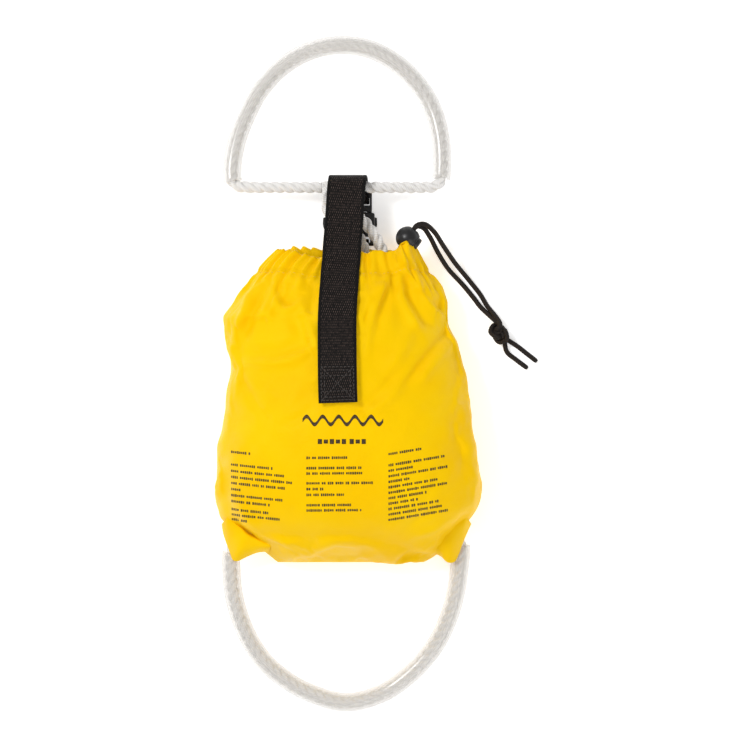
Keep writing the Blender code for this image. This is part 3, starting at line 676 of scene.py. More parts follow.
def underStrap(points):
    # the webbing presses the cloth flat: nothing under it stands above the strap's own line
    x, y, z = np.moveaxis(points, -1, 0)
    middle = strapMiddle(y)
    near = np.clip(1 - (np.abs(x - middle) - 13.5) / 6.0, 0, 1) * (z > 25) * (y > -24) * (y < 90)
    most = strapHeight(y) - 1.15
    low = np.where(z > most, most, z)
    return np.stack([x, y, z + (low - z) * near], -1)


strap = dict(
    width=25.4, thick=1.5, rib=1.6, dash=1.4, ribHeight=0.15,
    onBag=[(-6.3, -19), (-6.6, -10), (-6.8, 0), (-7, 20), (-7, 36), (-6.4, 50), (-5.7, 60),
           (-5.2, 68), (-4.4, 76)],
    over=[(-4, 84, 43), (-3.2, 94, 39), (-2.4, 106, 35.5), (-1.7, 118, 33.6), (-1, 126, 31.6),
          (-0.5, 130.3, 27), (-0.2, 131.4, 20), (0.2, 130, 12.5), (0.6, 126.5, 6.4),
          (1.1, 122.8, 3.1), (1.35, 119, 2), (1.35, 115.3, 2.8), (1.35, 113.7, 5.8),
          (1.35, 115.3, 9.1), (1.3, 119, 10.1), (1.2, 122.2, 9.8)],
    rear=[(1, 44.5, 1.4), (1, 60, 1.4), (1, 76, 1.4), (1, 83, 1.7), (1, 86.5, 2.6), (1, 88.7, 3.9),
          (1, 89.4, 6.2), (1, 88.7, 8.6), (1, 86.4, 9.6), (1, 84.3, 8.6), (1, 83.6, 6.3),
          (1, 82.4, 4.4), (1, 79, 3.5), (1, 74, 3.3), (1, 69, 3.3)],
)


def strapMiddle(y):
    route = np.array([p[:2] for p in strap["onBag"]] + [p[:2] for p in strap["over"][:6]])
    return np.interp(y, route[:, 1], route[:, 0])


def strapRoute():
    height = [bagPoint(float(y), 0.0)[2] + 1.9 for x, y in strap["onBag"]]
    return [(x, y, z) for (x, y), z in zip(strap["onBag"], height)] + strap["over"]


def strapHeight(y):
    route = smoothCurve(strapRoute())
    rising = route[:np.argmax(route[:, 1])]
    return np.interp(y, rising[:, 1], rising[:, 2])


def makeBag():
    rows = bagRows()
    columns = bag["columns"]
    turns = -90 + np.arange(columns) * 360 / columns
    points = bagPoint(rows[:, None], turns[None, :])
    points = gathered(points, turns, rows)
    held = np.zeros(points.shape[:2])
    held[:bag["hemRows"]] = 1
    held[-3:] = 1
    held[:, np.cos(np.radians(turns)) < -0.6] = 1
    close = np.abs(points[..., 0] - strapMiddle(points[..., 1])) < 11
    held[close & (points[..., 1] > -19) & (points[..., 2] > 25)] = 1
    points = billow(points, held)
    points = rumpled(folded(points, turns))
    rise = np.interp(points[..., 0], *np.array(hemRise, float).T)
    lift = np.clip((points[..., 1] - 40) / 40, 0, 1) ** 1.5 * (points[..., 2] > 26)
    points[..., 1] += rise * lift
    points[..., 2] += ballPeak(points)
    points = underStrap(points)
    points[..., 2] = np.maximum(points[..., 2], 0.35)
    return points


def panelUv(points):
    # metres of cloth: across from the left seam, down from the hem
    across = np.linalg.norm(np.diff(points, axis=1), axis=-1)
    u = np.concatenate([np.zeros((len(points), 1)), np.cumsum(across, 1)], 1)
    u = u - u.mean(1, keepdims=True)
    down = np.linalg.norm(np.diff(points, axis=0), axis=-1).mean(1)
    v = np.concatenate([[0.0], np.cumsum(down)])[:, None] + 0 * u
    return np.stack([u, v], -1) * mm


def smoothed(piece):
    smooth = piece.modifiers.new("smooth", "SUBSURF")
    smooth.levels = smooth.render_levels = 1


def thicken(piece, wall):
    shell = piece.modifiers.new("wall", "SOLIDIFY")
    shell.thickness = wall * mm
    shell.offset = -1.0


def addBag():
    points = makeBag()
    half, hem = bag["columns"] // 2, bag["hemRows"]
    ring = np.concatenate([points, points[:, :1]], 1)
    sides = dict(bagFront=(slice(0, half + 1), "bag_front_panel"),
                 bagBack=(slice(half, 2 * half + 1), "bag_back_panel"))
    panels = {}
    for name, (part, node) in sides.items():
        grid = ring[hem - 2:, part][::-1]
        mesh = surfaceMesh(name, grid, panelUv(grid))
        panels[name] = addPiece(name, mesh, finish["nylon"], "bag", [node])
        smoothed(panels[name])
        thicken(panels[name], bag["wall"])
    # the hem goes up outside, turns over the cord and comes down inside to the stitch line
    outer = points[:hem][::-1]
    out = outwards(points)[:hem]
    top = [points[0] + out[0] * inwards + np.array((0, up, 0)) for inwards, up in bag["turnOver"]]
    lining = [points[k] - out[k] * bag["lining"] for k in range(hem - 2)]
    grid = np.concatenate([outer, np.array(top), np.array(lining)])
    closed = np.concatenate([grid, grid[:, :1]], 1)
    mesh = surfaceMesh("mouthHem", grid, panelUv(closed), around=True)
    hemPiece = addPiece("mouthHem", mesh, finish["nylon"], "bag", ["mouth_casing"])
    smoothed(hemPiece)
    thicken(hemPiece, bag["wall"])
    return panels, points


bagPanels, bagGrid = addBag()
print("bag sewn")


# bottom corners: the cloth beyond the seams, folded out flat over the ends of the hose

corners = dict(
    left=dict(free=[(-84.2, -99, 22), (-83.2, -106, 20.5), (-81, -113, 19.6), (-78.6, -119.5, 19.4),
                    (-76.6, -124.2, 19.6), (-73.6, -124.6, 20), (-67, -121.6, 20.6),
                    (-60, -118.9, 21.2), (-52, -118.2, 21)],
              root=[(-80, -94, 33), (-76, -98, 32), (-71, -102, 31.5), (-67, -106, 31), (-63, -108.5, 30),
                    (-60, -110, 30), (-57, -111.5, 29.5), (-54, -112.5, 29), (-50, -113, 28)]),
    right=dict(free=[(51, -118.5, 20.5), (56.5, -119.5, 20.8), (61.5, -121.6, 20.4),
                     (65.5, -125.4, 20), (70.4, -125.2, 19.6), (73.2, -120.4, 19.4),
                     (75.6, -114, 19.8), (78.8, -106, 20.8), (82, -99, 22)],
               root=[(47, -112, 28), (50, -111.5, 29), (54, -110.5, 29.5), (58, -109, 30),
                     (61, -107.5, 30.5), (65, -105, 31), (69, -101.5, 31.5), (74, -97.5, 32),
                     (78, -93, 33)]),
)


def addCorner(name, shape):
    # a cuff of cloth: straight lines from its root inside the bag to its free edge, crowned a
    # little between them, then doubled under to a lower layer
    free, root = (evenly(smoothCurve(shape[key]), 1.2) for key in ("free", "root"))
    count = 60
    free, root = (sampled(line, np.linspace(0, 1, len(line)), np.linspace(0, 1, count))
                  for line in (free, root))
    share = np.linspace(0, 1, 16)[None, :, None]
    upper = root[:, None] * (1 - share) + free[:, None] * share
    crease = np.sin(np.linspace(0, 5 * math.pi, count))[:, None] * np.sin(math.pi * share[..., 0])
    upper[..., 2] += 2.6 * np.sin(math.pi * share[..., 0]) ** 0.8 + 0.5 * crease
    lower = root[:, None] * (1 - share) + free[:, None] * share
    lower[..., 2] -= 0.9 + 4.0 * (1 - share[..., 0])
    edge = (upper[:, -1:] + lower[:, -1:]) / 2
    outward = free - root
    outward[:, 2] = 0
    outward /= np.linalg.norm(outward, axis=1)[:, None]
    edge = edge + outward[:, None] * 0.5
    grid = np.concatenate([upper, edge, lower[:, ::-1]], 1)
    mesh = surfaceMesh(name, grid, panelUv(grid))
    piece = addPiece(name, mesh, finish["nylon"], "bag")
    closeSeams(mesh, 0, fill=True)
    smoothed(piece)


for side, shape in corners.items():
    addCorner("bagCorner" + side.capitalize(), shape)
print("corners folded")


# webbing

def addWebbing(name, route, nodes):
    # a flat rounded bar carried along the route with its width across. Its faces carry the weave,
    # h = ribHeight cos(2 pi a / dash) cos(pi v / rib), with plain ribs on the selvages
    path = evenly(smoothCurve(route), 0.4)
    tangent = np.gradient(path, axis=0)
    tangent /= np.linalg.norm(tangent, axis=1)[:, None]
    side = np.cross(np.cross(tangent, (1.0, 0.0, 0.0)), tangent)
    side /= np.linalg.norm(side, axis=1)[:, None]
    face = np.cross(side, tangent)
    count = 58
    halfWidth, halfThick = strap["width"] / 2, strap["thick"] / 2
    over = np.linspace(-1, 1, count) * (halfWidth - halfThick)
    turn = np.linspace(-math.pi / 2, math.pi / 2, 5)[1:-1]
    a = np.concatenate([over, halfWidth - halfThick + halfThick * np.cos(turn), over[::-1],
                        -(halfWidth - halfThick) - halfThick * np.cos(turn)])
    b = np.concatenate([np.full(count, -1.0), np.sin(turn), np.full(count, 1.0), -np.sin(turn)])
    b = b * (halfThick - strap["ribHeight"])
    run = lengthsAlong(path)
    onFace = np.concatenate([np.ones(count), 0 * turn, np.ones(count), 0 * turn]) * np.sign(b)
    rib = np.where(np.abs(a) > 10.6, 0.6 * np.cos(2 * math.pi * run[:, None] / strap["rib"]),
                   np.cos(2 * math.pi * a / strap["dash"]) * np.cos(math.pi * run[:, None] / strap["rib"]))
    offset = b[None, :] + strap["ribHeight"] * rib * onFace[None, :]
    points = path[:, None] + side[:, None] * a[None, :, None] + face[:, None] * offset[..., None]
    u = np.broadcast_to(np.append(a, a[:1]) * mm, (len(path), len(a) + 1))
    v = np.broadcast_to(run[:, None] * mm, u.shape)
    mesh = surfaceMesh(name, points, np.stack([u, v], -1), around=True, capped=True)
    closeSeams(mesh, 0)
    return addPiece(name, mesh, finish["webbing"], None, nodes), path, side, face


frontStrap, strapPath, strapSide, strapFace = addWebbing("frontStrap", strapRoute(), ["front_strap"])
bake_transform(frontStrap)
rearStrap = addWebbing("rearStrap", strap["rear"], ["rear_strap"])[0]
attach(rearStrap, "bag")


# mm: half the box's width, its two ends along the strap, the second box's inset, the extra rows,
# and the stitches' pitch, length, thickness and lift
boxStitch = dict(half=10.6, low=1.6, high=23.6, inset=2.2, row=6, pitch=2.5, length=2.0, thick=0.36,
                 lift=0.08)


def seamLine(bends, pitch):
    # points and directions of stitches along a bent line
    line = np.array(bends, float)
    run = lengthsAlong(line)
    at = np.arange(pitch / 2, run[-1], pitch)
    place = sampled(line, run, at)
    return place, sampled(line, run, at + 0.05) - place + 1e-9


def addBoxStitch():
    # a sewn box with a cross in it, a second box and two extra rows, at the strap's sewn end
    w, low, high, row = (boxStitch[key] for key in ("half", "low", "high", "row"))
    box = lambda i: [(-w + i, low + i), (w - i, low + i), (w - i, high - i), (-w + i, high - i),
                     (-w + i, low + i)]
    rows = [box(0), box(boxStitch["inset"]), [(-w, low), (w, high)], [(-w, high), (w, low)],
            [(-w, low + row), (w, low + row)], [(-w, high - row), (w, high - row)]]
    run = lengthsAlong(strapPath)
    centres, directions, outs = [], [], []
    for line in rows:
        place, step = seamLine(line, boxStitch["pitch"])
        base, side, up = (sampled(part, run, place[:, 1]) for part in (strapPath, strapSide, strapFace))
        up = up * np.sign(up[:, 2:])
        forward = sampled(strapPath, run, place[:, 1] + 1) - base
        centres.append(base + side * place[:, :1] + up * (strap["thick"] / 2 + boxStitch["lift"]))
        directions.append(side * step[:, :1] + forward * step[:, 1:2])
        outs.append(up)
    stitches("boxStitch", np.concatenate(centres), np.concatenate(directions), np.concatenate(outs),
             finish["blackThread"], "bag", boxStitch["length"], boxStitch["thick"])


addBoxStitch()
print("straps woven")


# handles

handles = dict(
    rope=8.0, hoseOut=12.7, hoseIn=9.5,
    upper=[(-17.4, 124), (-45, 124), (-66, 124), (-72.5, 124.5), (-76.5, 127), (-77.6, 132),
           (-76.9, 143), (-73.5, 158.3), (-67.5, 173.5), (-58.5, 190), (-43.5, 205.8),
           (-24.5, 216.3), (-5, 219.7), (14.5, 216.8), (33, 206.5), (48.3, 190.3), (57, 174),
           (61.2, 157.5), (62.3, 143), (61.9, 132), (60.6, 127), (56.8, 124.5), (50.5, 124),
           (30, 124), (9.3, 124)],
    upperHinge=(124.0, 19.0), upperTilt=12.5 / 95.7, upperEnds=(127.2, 129.5),
    lower=[(-60.2, -112.4), (-67, -112.6), (-73, -113.3), (-77, -116), (-78.4, -121),
           (-78.2, -134), (-76.7, -148.3), (-73, -162), (-66.8, -177), (-57.7, -191),
           (-46.5, -201.5), (-30, -211.8), (-2, -219.9), (23, -213.6), (39.5, -202.3),
           (50.8, -191), (60, -178), (66.7, -163.5), (71.2, -148.3), (73.8, -132),
           (75, -116), (73.8, -111), (69.8, -108.6), (63.5, -108.3), (56.8, -108.6)],
    lowerLeft=(-78.0, -113.0, 11.5), lowerRight=(75.0, -108.0, 11.5), lowerTilt=4.9 / 109.0,
    lowerEnds=(-119.3, -114.5),
)


def upperRoute():
    hingeY, hingeZ = handles["upperHinge"]
    return [(x, y, hingeZ - abs(y - hingeY) * handles["upperTilt"]) for x, y in handles["upper"]]


def lowerRoute():
    left, right = np.array(handles["lowerLeft"]), np.array(handles["lowerRight"])
    slope = (right[1] - left[1]) / (right[0] - left[0])
    route = []
    for x, y in handles["lower"]:
        out = max(0.0, left[1] + slope * (x - left[0]) - y)
        route.append((x, y, left[2] - out * handles["lowerTilt"]))
    ends = [(x, left[1] + slope * (x - left[0]), left[2]) for x in (-60.2, -67.5, 63.2, 56.8)]
    return ends[:2] + route[2:-2] + ends[2:]


def inHose(path, ends, outward):
    # the part of a handle's line that lies beyond the hose's two ends, left and right
    beyond = path[:, 1] * outward > np.where(path[:, 0] < 0, *ends) * outward
    inside = np.flatnonzero(beyond)
    return path[inside[0]:inside[-1] + 1]


def addHose(name, path, body, node):
    # one skin that goes out along the outside, turns in over the rounded cut end and comes back
    # along the bore: a ring profile (radius and shift along the hose) carried along the path
    path = evenly(path, 2.0)
    tangent, normal, side = framesAlong(path)
    angles = np.linspace(0, 2 * math.pi, 40, endpoint=False)
    ring = normal[:, None] * np.cos(angles)[:, None] + side[:, None] * np.sin(angles)[:, None]
    out, bore = handles["hoseOut"] / 2, handles["hoseIn"] / 2
    lip = [(out - 0.25, 0.0), (out - 0.5, -0.25), (bore + 0.5, -0.25), (bore + 0.15, 0.0)]
    first, last = path[0], path[-1]
    outside = path[:, None] + ring * out
    inside = path[::-1, None] + ring[::-1] * bore
    endRings = [last + ring[-1] * r - tangent[-1] * s for r, s in lip]
    startRings = [first + ring[0] * r + tangent[0] * s for r, s in lip[::-1]]
    points = np.concatenate([outside, np.array(endRings), inside, np.array(startRings)])
    points = np.concatenate([points, points[:1]])
    run = lengthsAlong(np.concatenate([path, path[::-1]]))
    v = np.interp(np.linspace(0, 1, len(points)), np.linspace(0, 1, len(run)), run) * mm
    u = np.linspace(0, 2 * math.pi * out, len(angles) + 1) * mm
    uv = np.stack(np.broadcast_arrays(u[None, :], v[:, None]), -1)
    mesh = surfaceMesh(name, points, uv, around=True)
    row = np.arange(len(mesh.polygons)) // len(angles)
    inner = (row > len(path) + 2) & (row < 2 * len(path) + 3)
    mesh.polygons.foreach_set("material_index", inner.astype(np.int32))
    closeSeams(mesh, 1e-6)
    piece = addPiece(name, mesh, finish["hose"], body, [node])
    mesh.materials.append(finish["bore"])
    return piece


def addRope(name, route, body, nodes, seize=(1, 1)):
    mesh, path = laidRope(name, smoothCurve(route), handles["rope"], 0.9, 30, seize=seize)
    addPiece(name, mesh, finish["rope"], body, nodes)


for side, route, outward, seize in (("upper", upperRoute(), 1, (0, 1)),
                                    ("lower", lowerRoute(), -1, (1, 1))):
    body = side + "_handle"
    addRope(side + "HandleRope", route, body, [body + "_rope"], seize)
    addHose(side + "HandleHose", inHose(smoothCurve(route), handles[side + "Ends"], outward), body,
            body + "_tube")
print("handles bent")


# knots and the throw line

def tiedLoop(centre, big, small, turn=(1, 0, 0), across=(0, 1, 0), share=1.0, count=260):
    # an overhand knot's line: a (2, 3) torus curve, (R + r cos 3t) about the middle twice while it
    # dips r sin 3t three times; share below 1 leaves it open at its outer lobe
    t = np.linspace(math.pi * (1 - share), 2 * math.pi - math.pi * (1 - share), count)
    flat = big + small * np.cos(3 * t)
    a, b = np.array(turn, float), np.array(across, float)
    c = np.cross(a, b)
    return (np.array(centre) + (flat * np.cos(2 * t))[:, None] * a
            + (flat * np.sin(2 * t))[:, None] * b + (small * np.sin(3 * t))[:, None] * c)


throwLine = dict(
    neck=[(5.5, 105.5, 23), (11, 100.5, 23.5), (16.5, 93, 24), (21.5, 84, 24), (25, 74, 24),
          (26.5, 63, 25), (26, 54.5, 27)],
    tail=[(-2, 101.4, 20), (3, 96, 19.5), (8.5, 88, 19.5), (11.5, 78, 20), (12, 66, 21)],
    lead=[(-17.1, 124, 19), (-13, 124, 19), (-9, 123.2, 19.3), (-5, 120, 20)],
    # flat ovals in the bag: pitch, first height, count, their two ends in Y, the gap to the cloth,
    # the smallest half width of a turn and how square a turn is (1 is round)
    pitch=8.7, lowest=8.2, layers=8, start=-98.0, to=46.0, inset=10.0, innermost=13.0, square=0.82,
)

# each knot: its middle, the torus curve's two radii, the rope drawn tight in it, and its mesh's
# step and sides
knots = dict(
    upper=dict(centre=(-5.9, 114.2, 21), radii=(7.2, 3.6), share=1.0, rope=(7.4, 0.8, 30)),
    left=dict(centre=(-52.2, -112.2, 11.8), radii=(2.9, 1.8), share=0.93, rope=(5.0, 0.6, 24)),
    right=dict(centre=(48.8, -108.9, 11.8), radii=(2.9, 1.8), share=0.93, rope=(5.0, 0.6, 24)),
)


def addKnot(name, knot, node):
    line = tiedLoop(knot["centre"], *knot["radii"], share=knot["share"])
    mesh, path = laidRope(name, line, *knot["rope"])
    addPiece(name, mesh, finish["rope"], "bag", [node])


def addKnots():
    addKnot("upperKnot", knots["upper"], "upper_handle_knot")
    addRope("upperKnotLead", throwLine["lead"], "bag", (), (0, 0))
    addRope("upperKnotTail", throwLine["tail"], "bag", ["upper_knot_tail"])
    addRope("throwLineNeck", throwLine["neck"], "bag", ["throw_line_neck"])
    for side in ("left", "right"):
        addKnot("lowerStopper" + side.capitalize(), knots[side], "lower_stopper_" + side)


def signedPower(value, power):
    return np.sign(value) * np.abs(value) ** power


def stuffedLine():
    # the line lies in the bag in flat ovals, one layer on another: in each layer it winds inwards
    # or outwards by one rope's width a turn, following the bag's outline at that height
    layers = []
    for layer in range(throwLine["layers"]):
        z = throwLine["lowest"] + layer * throwLine["pitch"]
        ys = np.linspace(throwLine["start"], throwLine["to"], 60)
        seam = profile(ys, bag["seam"])
        crown = profile(ys, bag["front"]) * np.sqrt(
            1 - np.clip((bag["frontRound"] - ys) / (bag["frontRound"] - bag["bottom"]), 0, 1) ** 2)
        height = np.clip((z + 7 - seam) / np.maximum(crown - seam, 1), 0, 0.999)
        reach = np.where(z > seam, (1 - height ** 2.2) ** (1 / 2.4), 0.93)
        half = (profile(ys, bag["right"]) - profile(ys, bag["left"])) / 2 * reach - throwLine["inset"]
        middle = (profile(ys, bag["right"]) + profile(ys, bag["left"])) / 2
        fits = np.flatnonzero(half > 0.6 * half.max())
        low, high = ys[fits[0]], ys[fits[-1]]
        halfY, centreY = (high - low) / 2, (high + low) / 2
        halfX = np.percentile(half[fits], 35)
        if min(halfX, halfY) < 2 * throwLine["innermost"]:
            continue
        centreX = middle[fits].mean()
        turns = max(1.0, (min(halfX, halfY) - throwLine["innermost"]) / throwLine["pitch"])
        t = np.linspace(0, turns, int(turns * 60))
        if layer % 2:
            t = t[::-1]
        inward = t * throwLine["pitch"]
        angle = 2 * math.pi * t * (1 if layer % 2 == 0 else -1)
        x = centreX + (halfX - inward) * signedPower(np.cos(angle), throwLine["square"])
        y = centreY + (halfY - inward) * signedPower(np.sin(angle), throwLine["square"])
        layers.append(np.stack([x, y, z + 0 * x], 1))
    line = np.concatenate([part[2:-2] for part in layers])
    return smoothCurve(evenly(line, 9.0), 2.0)


def addThrowLine():
    line = stuffedLine()
    mesh, path = laidRope("throwLineStuffed", line, handles["rope"], 2.6, 12, soften=0.7)
    addPiece("throwLineStuffed", mesh, finish["rope"], "bag", ["throw_line_bundle"])
    print("stuffed line: %.2f m" % (lengthsAlong(path)[-1] * mm))


addKnots()
addThrowLine()


# cord lock

lock = dict(centre=(39.3, 89.6, 33.0), along=(0.6, 0.8, 0.0), plunger=(0.8, -0.6, 0.0),
            radius=7.9, plungerRadius=4.7, plungerFrom=-3.0, plungerTo=8.9, cordPair=1.75, reach=8.4,
            # the dimples at the cord hole, the plunger's well, the collar round it (radius, height)
            # and the mould's parting line
            dimple=2.6, well=5.0, wellRadius=5.3, collar=(6.2, 0.35), parting=0.12)


def lockAxes():
    along, plunger = np.array(lock["along"]), np.array(lock["plunger"])
    return np.cross(along, plunger), along, plunger


def addBall():
    # a sphere with a collar ring round the plunger's hole and a dimple at each end of the cord hole:
    # r = R - depth of dimple where the direction comes near the cords' line
    polar = np.linspace(0, math.pi, 65)
    turn = np.linspace(0, 2 * math.pi, 96, endpoint=False)
    polar, turn = np.meshgrid(polar, turn, indexing="ij")
    local = np.stack([np.sin(polar) * np.cos(turn), np.sin(polar) * np.sin(turn), np.cos(polar)], -1)
    nearCord = np.hypot(local[..., 0] * 0.62, local[..., 2]) * lock["radius"]
    cordSide = np.abs(local[..., 1]) > 0.5
    dimple = lock["dimple"] * np.clip(1 - (nearCord / lock["dimple"]) ** 4, 0, 1) * cordSide
    hole = np.arccos(np.clip(local[..., 2], -1, 1)) * lock["radius"]
    well = lock["well"] * np.clip((lock["wellRadius"] - hole) / 0.5, 0, 1)
    collar = lock["collar"][1] * np.exp(-((hole - lock["collar"][0]) / 0.5) ** 2)
    parting = lock["parting"] * np.exp(-(local[..., 0] * lock["radius"] / 0.25) ** 2)
    radius = lock["radius"] - dimple - well + collar - parting
    a, b, c = lockAxes()
    points = np.array(lock["centre"]) + (local * radius[..., None]) @ np.stack([a, b, c])
    mesh = surfaceMesh("cordLockBall", points, plainUv(points, 0.025, 0.05), around=True)
    closeSeams(mesh)
    addPiece("cordLockBall", mesh, finish["acetal"], "cord_lock",
             ["cord_lock_barrel"])


def addPlunger():
    # a turned button: its outline (radius, height along the plunger) spun about that line
    r, low, high = lock["plungerRadius"], lock["plungerFrom"], lock["plungerTo"]
    outline = np.array([(0.0, low), (r - 0.4, low), (r, low + 0.4), (r, high - 1.1),
                        (r - 0.3, high - 0.45), (r - 1.0, high - 0.1), (r - 1.6, high),
                        (1.6, high - 0.25), (0.0, high - 0.3)])
    turn = np.linspace(0, 2 * math.pi, 64, endpoint=False)
    a, b, c = lockAxes()
    ring = np.cos(turn)[:, None] * a + np.sin(turn)[:, None] * b
    points = (np.array(lock["centre"]) + outline[:, :1, None] * ring[None]
              + outline[:, 1:, None] * c)
    mesh = surfaceMesh("cordLockPlunger", points, plainUv(points, 0.02, 0.03), around=True)
    closeSeams(mesh)
    mesh.set_sharp_from_angle(angle=math.radians(50))
    addPiece("cordLockPlunger", mesh, finish["acetal"], "lock_plunger",
             ["cord_lock_plunger"])


addBall()
addPlunger()
print("cord lock moulded")


# drawstring

drawstring = dict(
    diameter=3.3,
    strandA=[(50.5, 98.8, 33.4), (56.5, 94.5, 28), (63.5, 84.5, 19), (71, 74, 10.5), (81, 62, 4.4),
             (88.5, 52.5, 2.1), (92.6, 45.6, 2.1)],
    strandB=[(49.6, 96.6, 29), (54, 91, 24), (60, 80, 15), (67, 69.5, 7.8), (76, 60, 2.8),
             (83.5, 51, 2), (88.4, 44.6, 2)],
    tailA=[(112.5, 18.6, 2.8), (119, 13.6, 2), (126.3, 7.9, 2)],
    tailB=[(106, 14.6, 2.2), (112, 9.4, 2), (120, 3.4, 2)],
    knotCentre=(101.6, 27.6, 6.2), knotBig=3.3, knotSmall=2.0,
    # round the mouth: height in Y, depth under the cloth, first and last turn in degrees, points
    inHem=dict(y=74.5, inset=4.7, turns=(37, -303), count=25, first=(32.0, 78.3, 35.1),
               last=(36.4, 78.3, 32.6)),
)


def knotStrand(shift):
    # the two cords run side by side through one overhand knot, each shifted to its own side
    ahead = np.array((0.62, -0.785, 0.0))
    across = np.array((0.785, 0.62, 0.0))
    middle = tiedLoop(drawstring["knotCentre"], drawstring["knotBig"], drawstring["knotSmall"],
                      across, -ahead, share=0.93, count=90)
    tangent = np.gradient(middle, axis=0)
    tangent /= np.linalg.norm(tangent, axis=1)[:, None]
    centre = np.array(drawstring["knotCentre"])
    outward = middle - centre
    outward -= tangent * (outward * tangent).sum(1)[:, None]
    outward /= np.linalg.norm(outward, axis=1)[:, None]
    return middle + outward * shift


def strandRoute(start, strand, tail, shift):
    knot = knotStrand(shift)
    knot[:, 2] = np.maximum(knot[:, 2], 1.9)
    return [tuple(p) for p in start] + strand + [tuple(p) for p in knot[3:-3:6]] + tail


def addDrawstring():
    centre, along = np.array(lock["centre"]), np.array(lock["along"])
    up = np.array((0, 0, lock["cordPair"]))
    cord = drawstring["diameter"]
    ends = []
    for name, lift, strand, tail, shift, nodes, turnedIn in (
            ("drawstringA", up, "strandA", "tailA", 1.5, ["drawstring_strand_a", "drawstring_tail_a",
                                                          "drawstring_knot"], 2.2),
            ("drawstringB", -up, "strandB", "tailB", -1.5, ["drawstring_strand_b",
                                                            "drawstring_tail_b"], 1.2)):
        out = centre + along * (lock["reach"] - 4.5) + lift
        start = [out, centre + along * (lock["reach"] + turnedIn) + lift]
        route = strandRoute(start, drawstring[strand], drawstring[tail], shift)
        mesh, path = braidTube(name, smoothCurve(route), cord)
        piece = addPiece(name, mesh, finish["braid"], "bag", nodes)
        length = lengthsAlong(path)[-1] * mm
        ends.append(length)
    hidden = drawstring["inHem"]
    first = [centre + along * (lock["reach"] - 5) + up, centre + up, centre - along * 5.5 + up,
             centre - along * 8.5 + up, hidden["first"]]
    turns = np.linspace(*hidden["turns"], hidden["count"])
    aroundMouth = np.array([bagPoint(hidden["y"], turn, hidden["inset"]) for turn in turns])
    dip = np.interp(aroundMouth[:, 0], *np.array(hemRise, float).T)
    aroundMouth[:, 1] += np.where(aroundMouth[:, 2] > 24, np.minimum(dip, 0), 0)
    aroundMouth = [tuple(p) for p in aroundMouth]
    last = [hidden["last"], centre - along * 8.5 - up, centre - along * 5.5 - up, centre - up,
            centre + along * (lock["reach"] - 5) - up]
    mesh, path = braidTube("drawstringInHem", smoothCurve(first + aroundMouth + last), cord, 1.1, 14)
    addPiece("drawstringInHem", mesh, finish["braid"], "bag", ["drawstring_loop"])
    print("drawstring strands %.3f and %.3f m, in the hem %.3f m" % (*ends, lengthsAlong(path)[-1] * mm))


addDrawstring()


# seams of the bag

# mm: where the row starts, the pitch, and the stitches' length, thickness and lift
hemStitch = dict(start=1.5, pitch=3.0, length=2.1, thick=0.33, lift=0.15)


def addHemStitches():
    # a row of stitches follows the gathered stitch line round the bag, but not under the strap
    row = bag["hemRows"] - 1
    ring = np.concatenate([bagGrid[row], bagGrid[row, :1]])
    out = outwards(bagGrid)[row]
    out = np.concatenate([out, out[:1]])
    run = lengthsAlong(ring)
    at = np.arange(hemStitch["start"], run[-1], hemStitch["pitch"])
    place, ahead, up = (sampled(line, run, at + d) for d, line in ((0, ring), (0.8, ring), (0, out)))
    keep = ~((np.abs(place[:, 0] - strapMiddle(place[:, 1])) < 13.5) & (place[:, 2] > 25))
    stitches("hemStitches", (place + up * hemStitch["lift"])[keep], (ahead - place)[keep], up[keep],
             finish["yellowThread"], "bag", hemStitch["length"], hemStitch["thick"])


addHemStitches()


# generic printing on the front: rows of small marks in place of text, and a plain wave

printing = dict(
    mark=(1.0, 1.6), gap=0.42, space=1.1, seed=7, lift=0.16, ink=0.08, above=110.0,
    columns=[
        dict(x=-77, slope=-0.085, lines=[(-51.5, 13), (-59.8, 27), (-64, 35), (-68, 40), (-72, 36),
                                         (-76, 7), (-80, 34), (-84, 25), (-89.4, 26), (-93, 32),
                                         (-96.4, 11)]),
        dict(x=-27, slope=0.01, lines=[(-55, 28), (-61.7, 36), (-65.2, 36), (-71.6, 44), (-75.4, 11),
                                       (-79.2, 24), (-86, 30), (-89.5, 35)]),
        dict(x=26.5, slope=0.16, lines=[(-52.5, 21), (-59.8, 37), (-63.4, 16), (-67, 38), (-70.6, 14),
                                        (-74.2, 32), (-77.8, 38), (-81.4, 25), (-85, 19),
                                        (-88.6, 32), (-92.2, 36), (-95.8, 40)]),
    ],
    title=dict(words=[(-19.5, 5), (1.2, 3)], y=-44.3, pitch=3.9, wide=2.7, tall=3.2, short=0.8),
    wave=dict(x=-29.5, y=-30.6, length=52.5, swing=2.6, cycles=5, half=1.25, points=160),
)


def textMarks():
    # each line is words of 2 to 9 marks; a mark is a small upright block of uneven height
    rng = np.random.default_rng(printing["seed"])
    wide, tall = printing["mark"]
    blocks = []
    for column in printing["columns"]:
        for y, length in column["lines"]:
            at = 0.0
            while at < length:
                for mark in range(rng.integers(2, 9)):
                    w, h = wide * rng.uniform(0.7, 1.1), tall * rng.uniform(0.8, 1.15)
                    x = column["x"] + at
                    blocks.append((x, y + column["slope"] * at, w, h))
                    at += w + printing["gap"]
                    if at > length:
                        break
                at += printing["space"]
    title = printing["title"]
    for x, count in title["words"]:
        for mark in range(count):
            blocks.append((x + mark * title["pitch"], title["y"], title["wide"],
                           title["tall"] * (title["short"] if mark % 2 else 1.0)))
    return np.array(blocks)


